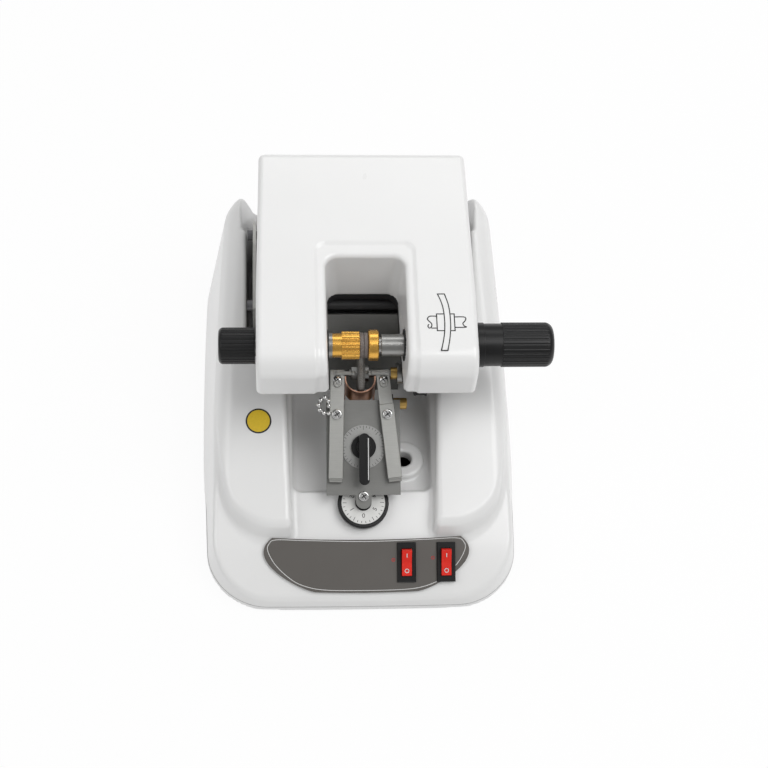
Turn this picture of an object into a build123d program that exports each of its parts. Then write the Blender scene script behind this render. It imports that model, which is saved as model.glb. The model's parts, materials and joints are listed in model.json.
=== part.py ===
from build123d import *
from math import acos, atan2, cos, degrees, pi, radians, sin, sqrt, tan
import os

# A bench machine that cuts the groove round a spectacle lens. A wedge-shaped base carries
# a head that swings up at the back. The head holds the lens between two turning chucks
# over a small grooving wheel, and two fingers on a sloping stage guide the lens's edge.
# Millimetres. While the pieces are made, X is right from the middle of the base, Y is
# back from its front lip and Z is up from the table. At the end everything moves so that
# the origin is under the middle of the whole machine.

# Base shell
base_width = 184.6
base_front_width = 176.4
base_rear_width = 181.2
base_depth = 237.5
front_bow = 1.0
front_corner_r = 34.0
rear_corner_r = 28.0
base_draft = 9.5
rear_draft = 4.0
base_wall = 2.8
base_bottom_z = 1.2
lip_height = 13.0
panel_y = 3.5
panel_z = 15.5
panel_slope = 27.0
shelf_y = 34.0
shelf_slope = 15.0
deck_y = 37.0
deck_z = 42.0
deck_slope = 15.0
deck_front_width = 156.0
deck_rear_width = 204.0
deck_corner_r = 24.0
deck_step_draft = 15.0
shoulder_r = 8.0
inner_shoulder_r = 2.5
channel_front_width = 78.6
channel_rear_width = 87.2
channel_end_y = 118.0
well_y = 59.0
well_width = 80.0
floor_z = 32.0
bay_y = 132.0
bay_rear_y = 217.0
bay_side_gap = 6.3
bay_corner_r = 10.0
saddle_z = 62.0
saddle_side_gap = 2.5
saddle_lean = 17.0
drain_x = 24.3
drain_y = 80.0
drain_r = 12.0
drain_hole_r = 4.8
drain_height = 4.0

# Bottom plate, feet and their screws
plate_t = 1.5
plate_gap = 0.8
foot_r = 8.0
foot_x = 64.0
foot_front_y = 34.0
foot_rear_y = 200.0
post_r = 4.0
post_side = 14.25
post_front_y = 40.0
post_rear_y = 190.0
m3_r = 1.5
m3_head_r = 2.9
m3_head_h = 1.6
thread_gap = 0.05

# Control panel
label_width = 116.9
label_height = 31.6
label_x = 1.8
label_v = 17.0
label_t = 0.4
bezel_width = 10.6
bezel_height = 22.6
bezel_t = 1.6
bezel_v = 18.2
left_switch_from_end = 35.85
right_switch_from_end = 13.25
left_switch_x = label_x + label_width / 2 - left_switch_from_end
right_switch_x = label_x + label_width / 2 - right_switch_from_end
switch_body_width = 8.8
switch_body_height = 19.6
switch_body_depth = 11.0
rocker_width = 5.6
rocker_r = 7.7
rocker_gap = 0.25
rocker_tilt = 10.0

# Mains inlet and fuse on the rear wall
inlet_x = 34.0
inlet_z = 17.0
inlet_width = 27.0
inlet_height = 20.0
inlet_flange_width = 50.0
inlet_flange_height = 24.0
inlet_flange_t = 2.5
inlet_depth = 18.0
inlet_screw_x = 20.0
fuse_x = -12.0
fuse_r = 6.0
fuse_cap_r = 7.0
fuse_cap_reach = 4.5
fuse_body_r = 5.0
fuse_body_length = 22.0

# Transformer and circuit board on the bottom plate
core_left_x = 12.0
core_width = 48.0
core_front_y = 130.0
core_depth = 40.0
core_height = 18.0
core_limb = 8.0
winding_gap = 0.4
bobbin_t = 9.0
board_left_x = -62.0
board_width = 58.0
board_front_y = 126.0
board_depth = 60.0
board_lift = 6.0
board_t = 1.6
board_post_r = 2.2
board_post_in = 4.0

# Dark sheet behind the wheel
guard_sheet_t = 1.5
guard_sheet_left_x = -36.0
guard_sheet_y = 128.5
guard_bend_y = 133.2
guard_bend_z = 66.6
guard_top_y = 145.6
guard_top_z = 88.8

# Head
head_width = 120.0
head_side_taper = 1.5
head_front_y = 84.0
head_rear_y = 222.0
head_top_z = 134.5
head_slope = 3.5
head_front_r = 13.0
head_rear_r = 6.0
head_edge_r = 3.0
head_corner_r = 5.0
head_corner_cut = 1.0
head_wall = 2.4
split_front_z = 105.0
split_slope = 6.0
notch_width = 44.0
notch_y = 153.5
notch_corner_r = 7.0
notch_draft = 3.0
recess_side = 4.8
recess_rear = 7.8
recess_depth = 1.2
tub_inset = 1.0
tub_wall = 2.0
tub_front_y = 95.0
tub_front_z = 98.5
tub_mid_z = 90.5
tub_mid_y = 166.0
tub_low_y = 176.0
tub_low_z = 80.0

# Head swing
pivot_y = 200.0
pivot_z = 90.0
pivot_r = 2.5
pivot_head_r = 3.0
bracket_gap = 0.3
bracket_t = 2.0
bracket_front_y = 143.0
bracket_rear_y = 209.0
bracket_foot = 14.0
rest_bar_y = 152.0
rest_bolt_r = 2.0
bolt_head_t = 3.2
rest_bar_r = 3.0
rest_gap = 0.15
running_gap = 0.05

# Head frame
frame_z = 100.2
frame_t = 1.5
ear_from_side = 5.5
ear_t = 2.0
ear_bush_t = 0.8
inner_ear_from_notch = 5.5

# Lens spindles
lens_y = 109.0
lens_z = 115.0
lens_plane_x = -1.2
spindle_r = 4.0
chuck_r = 7.6
chuck_length = 14.8
pad_r = 7.0
pad_t = 2.5
disc_r = 8.6
disc_t = 5.5
quill_r = 6.15
neck_t = 1.6
shaft_r = 3.0
bush_r = 8.8
left_knob_r = 10.0
left_knob_length = 19.9
right_knob_r = 12.3
right_knob_length = 42.5
knob_gap = 0.6
knob_flute_depth = 0.3
clamp_travel = 10.0
spring_r = 4.6
spring_bore_r = 3.4
spring_solid_length = 6.4

# Head gear train
pulley_r = 7.0
pulley_flange_r = 8.2
pulley_width = 6.0
left_belt_from_ear = 7.0
right_belt_from_ear = 3.6
belt_width = 5.0
belt_t = 1.2
belt_gap = 0.15
layshaft_y = 166.0
layshaft_z = 116.0
layshaft_r = 3.0
gear_module = 1.0
lay_gear_teeth = 30
pinion_teeth = 12
gear_x = -35.0
gear_width = 5.0
gear_backlash = 0.25
lens_motor_r = 13.5
lens_motor_length = 40.0

# Grooving wheel and its drive
wheel_y = 114.0
wheel_z = 76.0
wheel_r = 12.0
wheel_t = 4.0
wheel_shaft_r = 2.5
wheel_shaft_end_x = 38.0
wheel_bush_r = 3.4
wheel_bush_x = 16.0
block_x = 19.5
block_t = 7.0
block_r = 5.0
block_flange_r = 6.0
wheel_pulley_r = 13.0
wheel_pulley_x = 33.0
wheel_pulley_t = 7.0
motor_y = 165.0
motor_z = 55.0
motor_r = 17.0
motor_length = 46.0
motor_plate_x = 24.0
motor_plate_t = 2.0
motor_plate_half = 20.0
motor_plate_foot = 12.0
carrier_eye_r = 8.0
motor_pulley_r = 6.0
motor_shaft_r = 2.0
guard_r = 8.0
guard_t = 0.8
guard_x = -1.5
guard_y = 109.2
guard_low_z = 65.6
guard_high_z = 77.8
guard_rear_y = 111.2
guard_leg_y = 107.6
guard_foot = 5.0

# Stage with its arms, in the stage's own frame: x right, v up the slope, w off the plate
stage_slope = 28.0
stage_y = 51.0
stage_z = 47.0
stage_width = 42.0
stage_length = 54.0
stage_t = 1.5
tab_width = 9.0
tab_reach = 7.8
tab_screw_v = -0.6
stage_pivot_y = 102.0
stage_pivot_z = 62.0
stage_pin_r = 2.0
stage_lug_r = 5.0
lug_x = 14.0
upright_x = 15.6
upright_t = 2.0
pin_nut_r = 3.3
pin_nut_length = 8.0
arm_width = 8.2
arm_t = 2.0
arm_w = 3.0
arm_front_v = 9.5
arm_rear_v = 71.0
arm_pivot_v = 45.8
left_arm_x = -15.1
right_arm_x = 13.5
left_arm_angle = 1.4
right_arm_angle = 6.4
tip_screw_v = 66.2
tip_joint_v = 51.7
hook_r = 2.3
post_radius = 3.2
arm_screw_r = 2.0
screw_head_r = 2.9
screw_head_h = 1.7
finger_r = 1.1
finger_ball_r = 1.5
finger_v = 69.0
finger_w = 6.2
finger_gap = 1.2
scale_r = 12.5
scale_t = 0.6
lever_v = 27.3
lever_disc_r = 7.0
lever_reach = 21.3
lever_tail = 7.7
lever_width = 5.8
lever_blade_w = 7.6
lever_blade_h = 3.6
bead_r = 1.25
bead_wire_r = 0.35

# Depth dial, on its own tilted axis
dial_y = 49.6
dial_z = 40.2
dial_tilt = 15.0
dial_r = 14.6
dial_t = 4.0
dial_face_r = 12.4
dial_face_t = 0.4
dial_hub_r = 4.6
stem_r = 2.2
stem_reach = 3.5
dial_bush_r = 4.0
dial_bush_length = 5.4
dial_flange_t = 0.6
dial_gap = 0.15

# Places worked out from the sizes above
head_side = head_width / 2
head_rear_width = head_width - 2 * head_side_taper
head_narrow_side = head_rear_width / 2
bay_width = head_width + 2 * bay_side_gap
bracket_x = head_side + bracket_gap
ear_x = head_rear_width / 2 - ear_from_side
inner_ear_x = notch_width / 2 + inner_ear_from_notch
left_belt_x = left_belt_from_ear - ear_x
right_belt_x = ear_x - right_belt_from_ear
quill_end_x = right_belt_x - pulley_width / 2 - spring_solid_length - clamp_travel
knob_right_end_x = head_side + knob_gap + right_knob_length
shift_x = (knob_right_end_x - base_width / 2) / 2
rear_angle = radians(rear_draft)
inlet_wall_y = base_depth - (inlet_z - base_bottom_z) * tan(rear_angle)
fuse_end_y = inlet_wall_y + fuse_cap_reach * cos(rear_angle) + fuse_cap_r * sin(rear_angle)
shift_y = fuse_end_y / 2
far = 400.0


def box(x0, x1, y0, y1, z0, z1):
    """A block between two corners."""
    middle = Pos((x0 + x1) / 2, (y0 + y1) / 2, (z0 + z1) / 2)
    return middle * Box(abs(x1 - x0), abs(y1 - y0), abs(z1 - z0))


def rod_x(radius, x0, x1, y, z):
    """A round bar along X."""
    return Pos((x0 + x1) / 2, y, z) * Rot(0, 90, 0) * Cylinder(radius, abs(x1 - x0))


def ring_x(outer, inner, x0, x1, y, z):
    """A round tube along X."""
    low, high = sorted((x0, x1))
    return rod_x(outer, low, high, y, z) - rod_x(inner, low - 1, high + 1, y, z)


def post_z(radius, x, y, z0, z1):
    """An upright round bar."""
    return Pos(x, y, (z0 + z1) / 2) * Cylinder(radius, abs(z1 - z0))


def slab_x(face, x0, x1):
    """A face in the YZ plane, drawn out along X."""
    return Pos(x0, 0, 0) * extrude(face, amount=x1 - x0, dir=(1, 0, 0))


def side_face(points):
    """A closed polygon of (Y, Z) points."""
    return make_face(Plane.YZ * Polyline(*points, close=True))


def plan_face(points):
    """A closed polygon of (X, Y) points."""
    return make_face(Polyline(*points, close=True))


def tilted_plane(y, z, slope):
    """A plane whose x is X, whose y runs back and up and whose z is its normal."""
    angle = radians(slope)
    return Plane(origin=(0, y, z), x_dir=(1, 0, 0), z_dir=(0, -sin(angle), cos(angle)))


panel_plane = tilted_plane(panel_y, panel_z, panel_slope)
stage_plane = tilted_plane(stage_y, stage_z, stage_slope)
dial_plane = tilted_plane(dial_y, dial_z, dial_tilt)


def base_outline(inset, rear_inset):
    """Plan of the base, drawn in by inset at the front and sides and by rear_inset behind."""
    front = base_front_width / 2 - inset
    middle = base_width / 2 - inset
    rear = base_rear_width / 2 - inset
    corner_y = inset + front_bow
    rear_y = base_depth - rear_inset
    edges = [
        ThreePointArc((-front, corner_y), (0, inset), (front, corner_y)),
        ThreePointArc((front, corner_y), (middle, base_depth / 2), (rear, rear_y)),
        Line((rear, rear_y), (-rear, rear_y)),
        ThreePointArc((-rear, rear_y), (-middle, base_depth / 2), (-front, corner_y)),
    ]
    face = make_face(edges)
    face = fillet(face.vertices().sort_by(Axis.Y)[:2], front_corner_r - inset)
    return fillet(face.vertices().sort_by(Axis.Y)[-2:], rear_corner_r - inset)


def base_hull(inset):
    """The drafted outer form of the base, before its top is shaped."""
    top = deck_z + base_depth * tan(radians(deck_slope))
    bottom = base_bottom_z - (1.0 if inset else 0.0)
    rise = top - bottom
    low = Pos(0, 0, bottom) * base_outline(inset, inset)
    lean = rise * tan(radians(base_draft))
    rear_lean = rise * tan(radians(rear_draft))
    high = Pos(0, 0, top) * base_outline(inset + lean, inset + rear_lean)
    return loft([low, high], ruled=True)


def tray_z(y):
    """Height of the shelf in front of the decks."""
    start = panel_z + (shelf_y - panel_y) * tan(radians(panel_slope))
    return start + (y - shelf_y) * tan(radians(shelf_slope))


def tray_block(drop):
    """Everything under the lip, the panel and the shelf, lowered by drop."""
    rear = base_depth + far
    points = [
        (-far, -far),
        (-far, lip_height - drop),
        (0, lip_height - drop),
        (panel_y, panel_z - drop),
        (shelf_y, tray_z(shelf_y) - drop),
        (rear, tray_z(rear) - drop),
        (rear, -far),
    ]
    return slab_x(side_face(points), -far, far)


def deck_top_z(y):
    """Height of the sloping decks."""
    return deck_z + (y - deck_y) * tan(radians(deck_slope))


def deck_plan(inset):
    """Plan of the raised decks, wider than the base behind their front corners."""
    half = deck_front_width / 2 - inset
    wide = deck_rear_width / 2 - inset
    front = deck_y - 4.0 + inset
    rear = base_depth + far / 4
    points = [(-half, front), (half, front), (wide, channel_end_y), (wide, rear)]
    points += [(-wide, rear), (-wide, channel_end_y)]
    face = plan_face(points)
    return fillet(face.vertices().sort_by(Axis.Y)[:2], deck_corner_r - inset)


def deck_block(inset):
    """The raised decks, with a leaning front step and a sloping top."""
    low_z = tray_z(deck_y - 4.0)
    high_z = deck_top_z(base_depth)
    lean = 12.0 * tan(radians(deck_step_draft))
    low = Pos(0, 0, low_z) * deck_plan(inset)
    high = Pos(0, 0, low_z + 12.0) * deck_plan(inset + lean)
    step = loft([low, high], ruled=True)
    above = extrude(Pos(0, 0, low_z + 12.0) * deck_plan(inset + lean), amount=high_z - low_z)
    below = extrude(Pos(0, 0, low_z - 12.0) * deck_plan(inset), amount=12.0)
    rear = base_depth + far / 4
    top = [(0, -far), (0, deck_top_z(0) - inset), (rear, deck_top_z(rear) - inset), (rear, -far)]
    return (step + above + below) & slab_x(side_face(top), -far, far)


def channel_block(grow):
    """The open channel between the decks, in front of the bay."""
    front = channel_front_width / 2 + grow
    rear = channel_rear_width / 2 + grow
    points = [(-front, 0), (front, 0), (rear, channel_end_y), (rear, base_depth)]
    points += [(-rear, base_depth), (-rear, channel_end_y)]
    return extrude(plan_face(points), amount=far)


def pocket_block(grow):
    """The deep well, the bay under the head and the low saddle behind it."""
    floor = floor_z - grow
    well_half = well_width / 2 + grow
    bay_half = bay_width / 2 + grow
    well = box(-well_half, well_half, well_y - grow, bay_y + 1, floor, far)
    bay = box(-bay_half, bay_half, bay_y - grow, bay_rear_y + grow, floor, far)
    low_half = head_rear_width / 2 + saddle_side_gap + grow
    high_half = low_half + (deck_top_z(base_depth) - saddle_z) * tan(radians(saddle_lean))
    saddle_low = saddle_z - grow
    saddle_high = deck_top_z(base_depth)
    profile = [(-low_half, saddle_low), (low_half, saddle_low), (high_half, saddle_high)]
    profile += [(high_half, far), (-high_half, far), (-high_half, saddle_high)]
    face = make_face(Plane.XZ * Polyline(*profile, close=True))
    saddle = extrude(Pos(0, bay_rear_y - bay_corner_r, 0) * face, amount=far, dir=(0, 1, 0))
    corners = bay.edges().filter_by(Axis.Z).sort_by(Axis.Y)[-2:]
    return well + fillet(corners, bay_corner_r + grow) + saddle


def base_form(inset, rounding):
    """The base's form drawn in by inset, with its channel, well and bay."""
    tray = tray_block(inset)
    form = base_hull(inset) & (tray + deck_block(inset))
    form = fillet(shoulder_edges(form, inset), rounding)
    return form - (channel_block(inset) - tray) - pocket_block(inset)


def shoulder_edges(form, inset):
    """The outer top edges, where the decks meet the side and rear walls."""
    def on_shoulder(edge):
        centre = edge.center()
        above = abs(centre.Z + inset - deck_top_z(centre.Y)) < 1.5
        return above and centre.Y > deck_y + 2 * deck_corner_r
    return form.edges().filter_by(on_shoulder)


def screw_posts():
    """Places of the screws that hold the bottom plate."""
    x = base_front_width / 2 - post_side
    return [(side * x, y) for y in (post_front_y, post_rear_y) for side in (-1, 1)]


def make_base_shell():
    outer = base_form(0, shoulder_r)
    posts = [post_z(post_r, x, y, base_bottom_z + 3.0, far) & outer for x, y in screw_posts()]
    shell = outer - base_form(base_wall, inner_shoulder_r)
    for post, (x, y) in zip(posts, screw_posts()):
        shell += post - post_z(m3_r, x, y, 0, 18.0)
    drain = post_z(drain_r, drain_x, drain_y, floor_z - base_wall, floor_z + drain_height)
    shell += chamfer(drain.edges().sort_by(Axis.Z)[-1], 1.5)
    shell -= post_z(drain_hole_r, drain_x, drain_y, floor_z - base_wall - 1, floor_z + 10)
    for x in (left_switch_x, right_switch_x):
        hole = Box(switch_body_width + 0.4, switch_body_height + 0.4, 30.0)
        shell -= panel_plane * (Pos(x, bezel_v, 0) * hole)
    bush_hole = dial_t + dial_gap + dial_bush_length + 0.4
    shell -= dial_plane * (Pos(0, 0, -bush_hole / 2) * Cylinder(dial_bush_r, bush_hole))
    shell -= rear_plane() * (Pos(inlet_x, 0, 0) * Box(inlet_width + 0.4, inlet_height + 0.4, 30.0))
    shell -= rear_plane() * (Pos(fuse_x, 0, 0) * Cylinder(fuse_body_r + thread_gap, 30.0))
    for x in (inlet_x - inlet_screw_x, inlet_x + inlet_screw_x):
        shell -= rear_plane() * (Pos(x, 0, 0) * Cylinder(m3_r, 20.0))
    return shell


def rear_plane():
    """The drafted rear wall at the inlet's height: x is X, y is up the wall."""
    origin = (0, inlet_wall_y, inlet_z)
    return Plane(origin=origin, x_dir=(-1, 0, 0), z_dir=(0, cos(rear_angle), sin(rear_angle)))


def make_base_plate():
    z = base_bottom_z + 1.0
    edge_gap = base_wall + plate_gap
    plate = extrude(Pos(0, 0, z) * base_outline(edge_gap, edge_gap), amount=plate_t)
    for x, y in screw_posts():
        plate -= post_z(m3_r + 0.1, x, y, 0, 20)
    return plate


def make_plate_screws():
    screws = []
    top = base_bottom_z + 1.0
    for x, y in screw_posts():
        head = post_z(m3_head_r, x, y, top - m3_head_h, top)
        screws.append(head + post_z(m3_r - thread_gap, x, y, top - 0.1, top + 12.0))
    return screws


def make_feet():
    feet = []
    for x in (-foot_x, foot_x):
        for y in (foot_front_y, foot_rear_y):
            foot = post_z(foot_r, x, y, 0, base_bottom_z + 1.0)
            feet.append(chamfer(foot.edges().sort_by(Axis.Z)[0], 0.8))
    return feet


def make_label():
    """A shield of thin sheet: a flat arch above and a deep round belly below."""
    half = label_width / 2
    top = label_height / 2
    edges = [
        ThreePointArc((-half * 0.92, top), (0, top - 1.6), (half * 0.92, top)),
        Spline((half * 0.92, top), (half, top - 6.5), (half * 0.73, -top + 6.0), (half * 0.5, -top + 0.6)),
        ThreePointArc((half * 0.5, -top + 0.6), (0, -top), (-half * 0.5, -top + 0.6)),
        Spline((-half * 0.5, -top + 0.6), (-half * 0.73, -top + 6.0), (-half, top - 6.5), (-half * 0.92, top)),
    ]
    sheet = extrude(Pos(label_x, label_v, 0) * make_face(edges), amount=label_t)
    for x in (left_switch_x, right_switch_x):
        sheet -= Pos(x, bezel_v, 0) * Box(switch_body_width + 0.4, switch_body_height + 0.4, 4.0)
    return panel_plane * sheet


def rocker_window(x):
    opening = Box(rocker_width + 2 * rocker_gap, 2 * (rocker_r + rocker_gap), 2 * 6.0)
    return Pos(x, bezel_v, label_t + bezel_t) * opening


def make_switch_bodies():
    bodies = []
    for x in (left_switch_x, right_switch_x):
        rim = Pos(x, bezel_v, label_t + bezel_t / 2) * Box(bezel_width, bezel_height, bezel_t)
        rim = chamfer(rim.faces().sort_by(Axis.Z)[-1].edges(), 0.5)
        depth = switch_body_depth + label_t
        block = Box(switch_body_width, switch_body_height, depth)
        body = rim + Pos(x, bezel_v, label_t - depth / 2) * block
        bodies.append(panel_plane * (body - rocker_window(x)))
    return bodies


def make_rocker(x):
    """A dished rocker that turns about X inside the bezel."""
    outline = [(-9, 2.9), (0, 1.5), (9, 2.9), (9, -3.2), (-9, -3.2)]
    face = Plane.YZ * (Circle(rocker_r) & make_face(Polyline(*outline, close=True)))
    body = Pos(-rocker_width / 2, 0, 0) * extrude(face, amount=rocker_width, dir=(1, 0, 0))
    seat = Pos(x, bezel_v, label_t + bezel_t) * Rot(rocker_tilt, 0, 0)
    return panel_plane * (seat * body)


def make_inlet():
    flange = Pos(0, 0, inlet_flange_t / 2) * Box(inlet_flange_width, inlet_flange_height, inlet_flange_t)
    flange = fillet(flange.edges().filter_by(Axis.Z), 4.0)
    body = Pos(0, 0, -inlet_depth / 2) * Box(inlet_width, inlet_height, inlet_depth)
    socket = Pos(0, 0, -6.0) * Box(inlet_width - 4.0, inlet_height - 4.0, 18.0)
    blades = Part()
    for x, y in ((-7.0, 0.0), (7.0, 0.0), (0.0, 4.0)):
        blades += Pos(x, y, -8.0) * Box(2.0, 4.0, 12.0)
    inlet = flange + body - socket + blades
    for x in (-inlet_screw_x, inlet_screw_x):
        inlet -= Pos(x, 0, 0) * Cylinder(m3_r + 0.1, 10.0)
    return rear_plane() * (Pos(inlet_x, 0, 0) * inlet)


def make_inlet_screws():
    screws = []
    for x in (-inlet_screw_x, inlet_screw_x):
        head = Pos(inlet_x + x, 0, inlet_flange_t + 0.6) * Cylinder(m3_head_r, 1.2)
        shank = Pos(inlet_x + x, 0, inlet_flange_t - 3.0) * Cylinder(m3_r, 6.2)
        screws.append(rear_plane() * (head + shank))
    return screws


def make_fuse():
    ring_t = 1.5
    grip_t = fuse_cap_reach - ring_t
    cap = Pos(0, 0, ring_t + grip_t / 2) * Cylinder(fuse_cap_r, grip_t)
    cap += Pos(0, 0, ring_t / 2) * Cylinder(fuse_r, ring_t)
    cap -= Pos(0, 0, fuse_cap_reach) * Box(8.0, 1.2, 1.6)
    body = Pos(0, 0, -fuse_body_length / 2) * Cylinder(fuse_body_r, fuse_body_length)
    return rear_plane() * (Pos(fuse_x, 0, 0) * (cap + body))


def make_transformer():
    """Laminated core with two windows and a coil round each outer limb."""
    z = base_bottom_z + 1.0 + plate_t
    core_right_x = core_left_x + core_width
    core_rear_y = core_front_y + core_depth
    window_low = z + core_limb / 2
    window_high = z + core_height - core_limb / 2
    core = box(core_left_x, core_right_x, core_front_y, core_rear_y, z, z + core_height)
    coils = []
    for x in (core_left_x + core_limb, core_right_x - 2 * core_limb):
        core -= box(x, x + core_limb, core_front_y - 1, core_rear_y + 1, window_low, window_high)
        x0 = x + winding_gap
        x1 = x + core_limb - winding_gap
        z0 = window_low + winding_gap
        z1 = window_high - winding_gap
        coils.append(box(x0, x1, core_front_y - bobbin_t, core_rear_y + bobbin_t, z0, z1))
    x0 = core_left_x + core_limb + winding_gap
    x1 = core_right_x - core_limb - winding_gap
    ends = Part()
    for y in (core_front_y - winding_gap - bobbin_t, core_rear_y + winding_gap):
        ends += box(x0, x1, y, y + bobbin_t, window_low - 1.0, window_high + 2.0)
    return [core, coils[0] + coils[1] + ends]


def make_circuit_board():
    """Board on four posts, with two capacitors, a relay and a terminal strip."""
    z = base_bottom_z + 1.0 + plate_t
    x0 = board_left_x
    y0 = board_front_y
    x1 = x0 + board_width
    y1 = y0 + board_depth
    top = z + board_lift + board_t
    board = box(x0, x1, y0, y1, z + board_lift, top)
    for x in (x0 + board_post_in, x1 - board_post_in):
        for y in (y0 + board_post_in, y1 - board_post_in):
            board += post_z(board_post_r, x, y, z, z + board_lift + 0.5)
    board += post_z(5.0, x0 + 14.0, y0 + 19.0, top - 0.5, top + 10.0)
    board += post_z(4.0, x0 + 27.0, y0 + 19.0, top - 0.5, top + 9.0)
    board += box(x0 + 36.0, x0 + 52.0, y0 + 10.0, y0 + 24.0, top - 0.5, top + 8.0)
    return board + box(x0 + 12.0, x0 + 42.0, y1 - 22.0, y1 - 12.0, top - 0.5, top + 7.0)


def head_side_face():
    """The head's outer profile: upright front, long sloping top, upright back."""
    slope = tan(radians(head_slope))
    rise = head_top_z - (head_front_r * slope)
    front = head_front_y
    rear = head_rear_y
    low_rear = split_z(rear)
    points = [
        (front, split_front_z),
        (front, rise),
        (rear, rise + (rear - front) * slope),
        (rear, low_rear),
    ]
    face = side_face(points)
    top_front = face.vertices().filter_by(lambda v: v.Z > split_front_z + 5).sort_by(Axis.Y)[0]
    face = fillet(top_front, head_front_r)
    top_rear = face.vertices().sort_by(Axis.Z)[-1]
    return fillet(top_rear, head_rear_r)


def split_z(y):
    """Height of the joint between the white cover and the dark tub below it."""
    return split_front_z - (y - head_front_y) * tan(radians(split_slope))


def head_plan(inset):
    """Plan of the head: a little narrower at the back, with round front corners."""
    half = head_width / 2 - inset
    rear_half = head_rear_width / 2 - inset
    front = head_front_y - head_corner_cut + inset
    rear = head_rear_y + head_corner_cut - inset
    points = [(-half, front), (half, front), (half, lens_y + 20), (rear_half, rear)]
    points += [(-rear_half, rear), (-half, lens_y + 20)]
    face = plan_face(points)
    face = fillet(face.vertices().sort_by(Axis.Y)[:2], head_corner_r - inset)
    return fillet(face.vertices().sort_by(Axis.Y)[-2:], head_rear_r - inset)


def notch_block(grow):
    """The drafted notch that the lens stands in, open at the front."""
    deep = 60.0
    lean = deep * tan(radians(notch_draft))
    top_z = head_top_z + 10.0

    def section(half, rear):
        points = [(-half, -far / 4), (half, -far / 4), (half, rear), (-half, rear)]
        face = plan_face(points)
        return fillet(face.vertices().sort_by(Axis.Y)[-2:], notch_corner_r + grow)

    half = notch_width / 2 + grow
    rear = notch_y + grow
    high = Pos(0, 0, top_z) * section(half + 0.5, rear + 0.2)
    low = Pos(0, 0, top_z - deep) * section(half + 0.5 - lean, rear)
    return loft([low, high], ruled=True)


def head_solid(inset):
    """The head's outer form drawn in by inset, still closed."""
    face = head_side_face()
    if inset:
        face = offset(face, amount=-inset, kind=Kind.INTERSECTION)
    return slab_x(face, -far / 2, far / 2) & extrude(head_plan(inset), amount=far)


def head_holes():
    """Holes on both sides for the notch bushes, the spindles and the pivot bolts."""
    holes = []
    inside = head_narrow_side - 6.0
    outside = head_side + far
    for side in (-1, 1):
        wall = side * notch_width / 2
        holes.append(rod_x(bush_r + 0.2, wall - 6.0, wall + 6.0, lens_y, lens_z))
        holes.append(rod_x(shaft_r + 2.5, side * inside, side * outside, lens_y, lens_z))
        holes.append(rod_x(pivot_head_r + 0.6, side * inside, side * outside, pivot_y, pivot_z))
    return holes


def make_head_cover():
    outer = head_solid(0)
    top_edges = outer.edges().filter_by(
        lambda e: abs(e.center().X) > head_narrow_side - 2.5
        and e.center().Z > split_front_z + 6
        and abs(e.tangent_at(0.5).X) < 0.7
        and e.length > 2.0
    )
    outer = fillet(top_edges, head_edge_r)
    inner = head_solid(head_wall)
    below = slab_x(side_face(open_belly()), -far / 2, far / 2) & extrude(head_plan(head_wall), amount=far)
    cover = (outer - notch_block(0)) - ((inner + below) - notch_block(head_wall))
    band = head_solid(0) - head_solid(recess_depth)
    half = notch_width / 2 + recess_side
    recess_plan = plan_face([(-half, 0), (half, 0), (half, notch_y + recess_rear), (-half, notch_y + recess_rear)])
    recess_plan = fillet(recess_plan.vertices().sort_by(Axis.Y)[-2:], 6.0)
    cover -= band & extrude(recess_plan, amount=far)
    for hole in head_holes():
        cover -= hole
    return cover


def open_belly():
    """Below the cover's open edge, for cutting its inside right through."""
    front = head_front_y + head_wall
    rear = head_rear_y - head_wall
    return [
        (front, split_front_z + 4.0),
        (front, split_front_z - 30.0),
        (rear, split_front_z - 60.0),
        (rear, split_z(rear) + 4.0),
    ]


def tub_face(inset):
    """Side profile of the dark tub under the cover."""
    gap = 0.1
    front = tub_front_y + inset
    rear = head_rear_y - tub_inset - inset
    return side_face([
        (front, split_z(front) - gap),
        (front, tub_front_z + inset),
        (tub_mid_y, tub_mid_z + inset),
        (tub_low_y, tub_low_z + inset),
        (rear, tub_low_z + inset),
        (rear, split_z(rear) - gap),
    ])


def make_head_tub():
    shape = slab_x(tub_face(0), -far / 2, far / 2) & extrude(head_plan(tub_inset), amount=far)
    open_top = Pos(0, 0, 2 * tub_wall) * slab_x(tub_face(tub_wall), -far / 2, far / 2)
    inside = slab_x(tub_face(tub_wall), -far / 2, far / 2) + open_top
    inside &= extrude(head_plan(tub_inset + tub_wall), amount=far)
    tub = (shape - notch_block(0.3)) - (inside - notch_block(tub_wall + 0.3))
    for hole in head_holes():
        tub -= hole
    return tub


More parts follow.
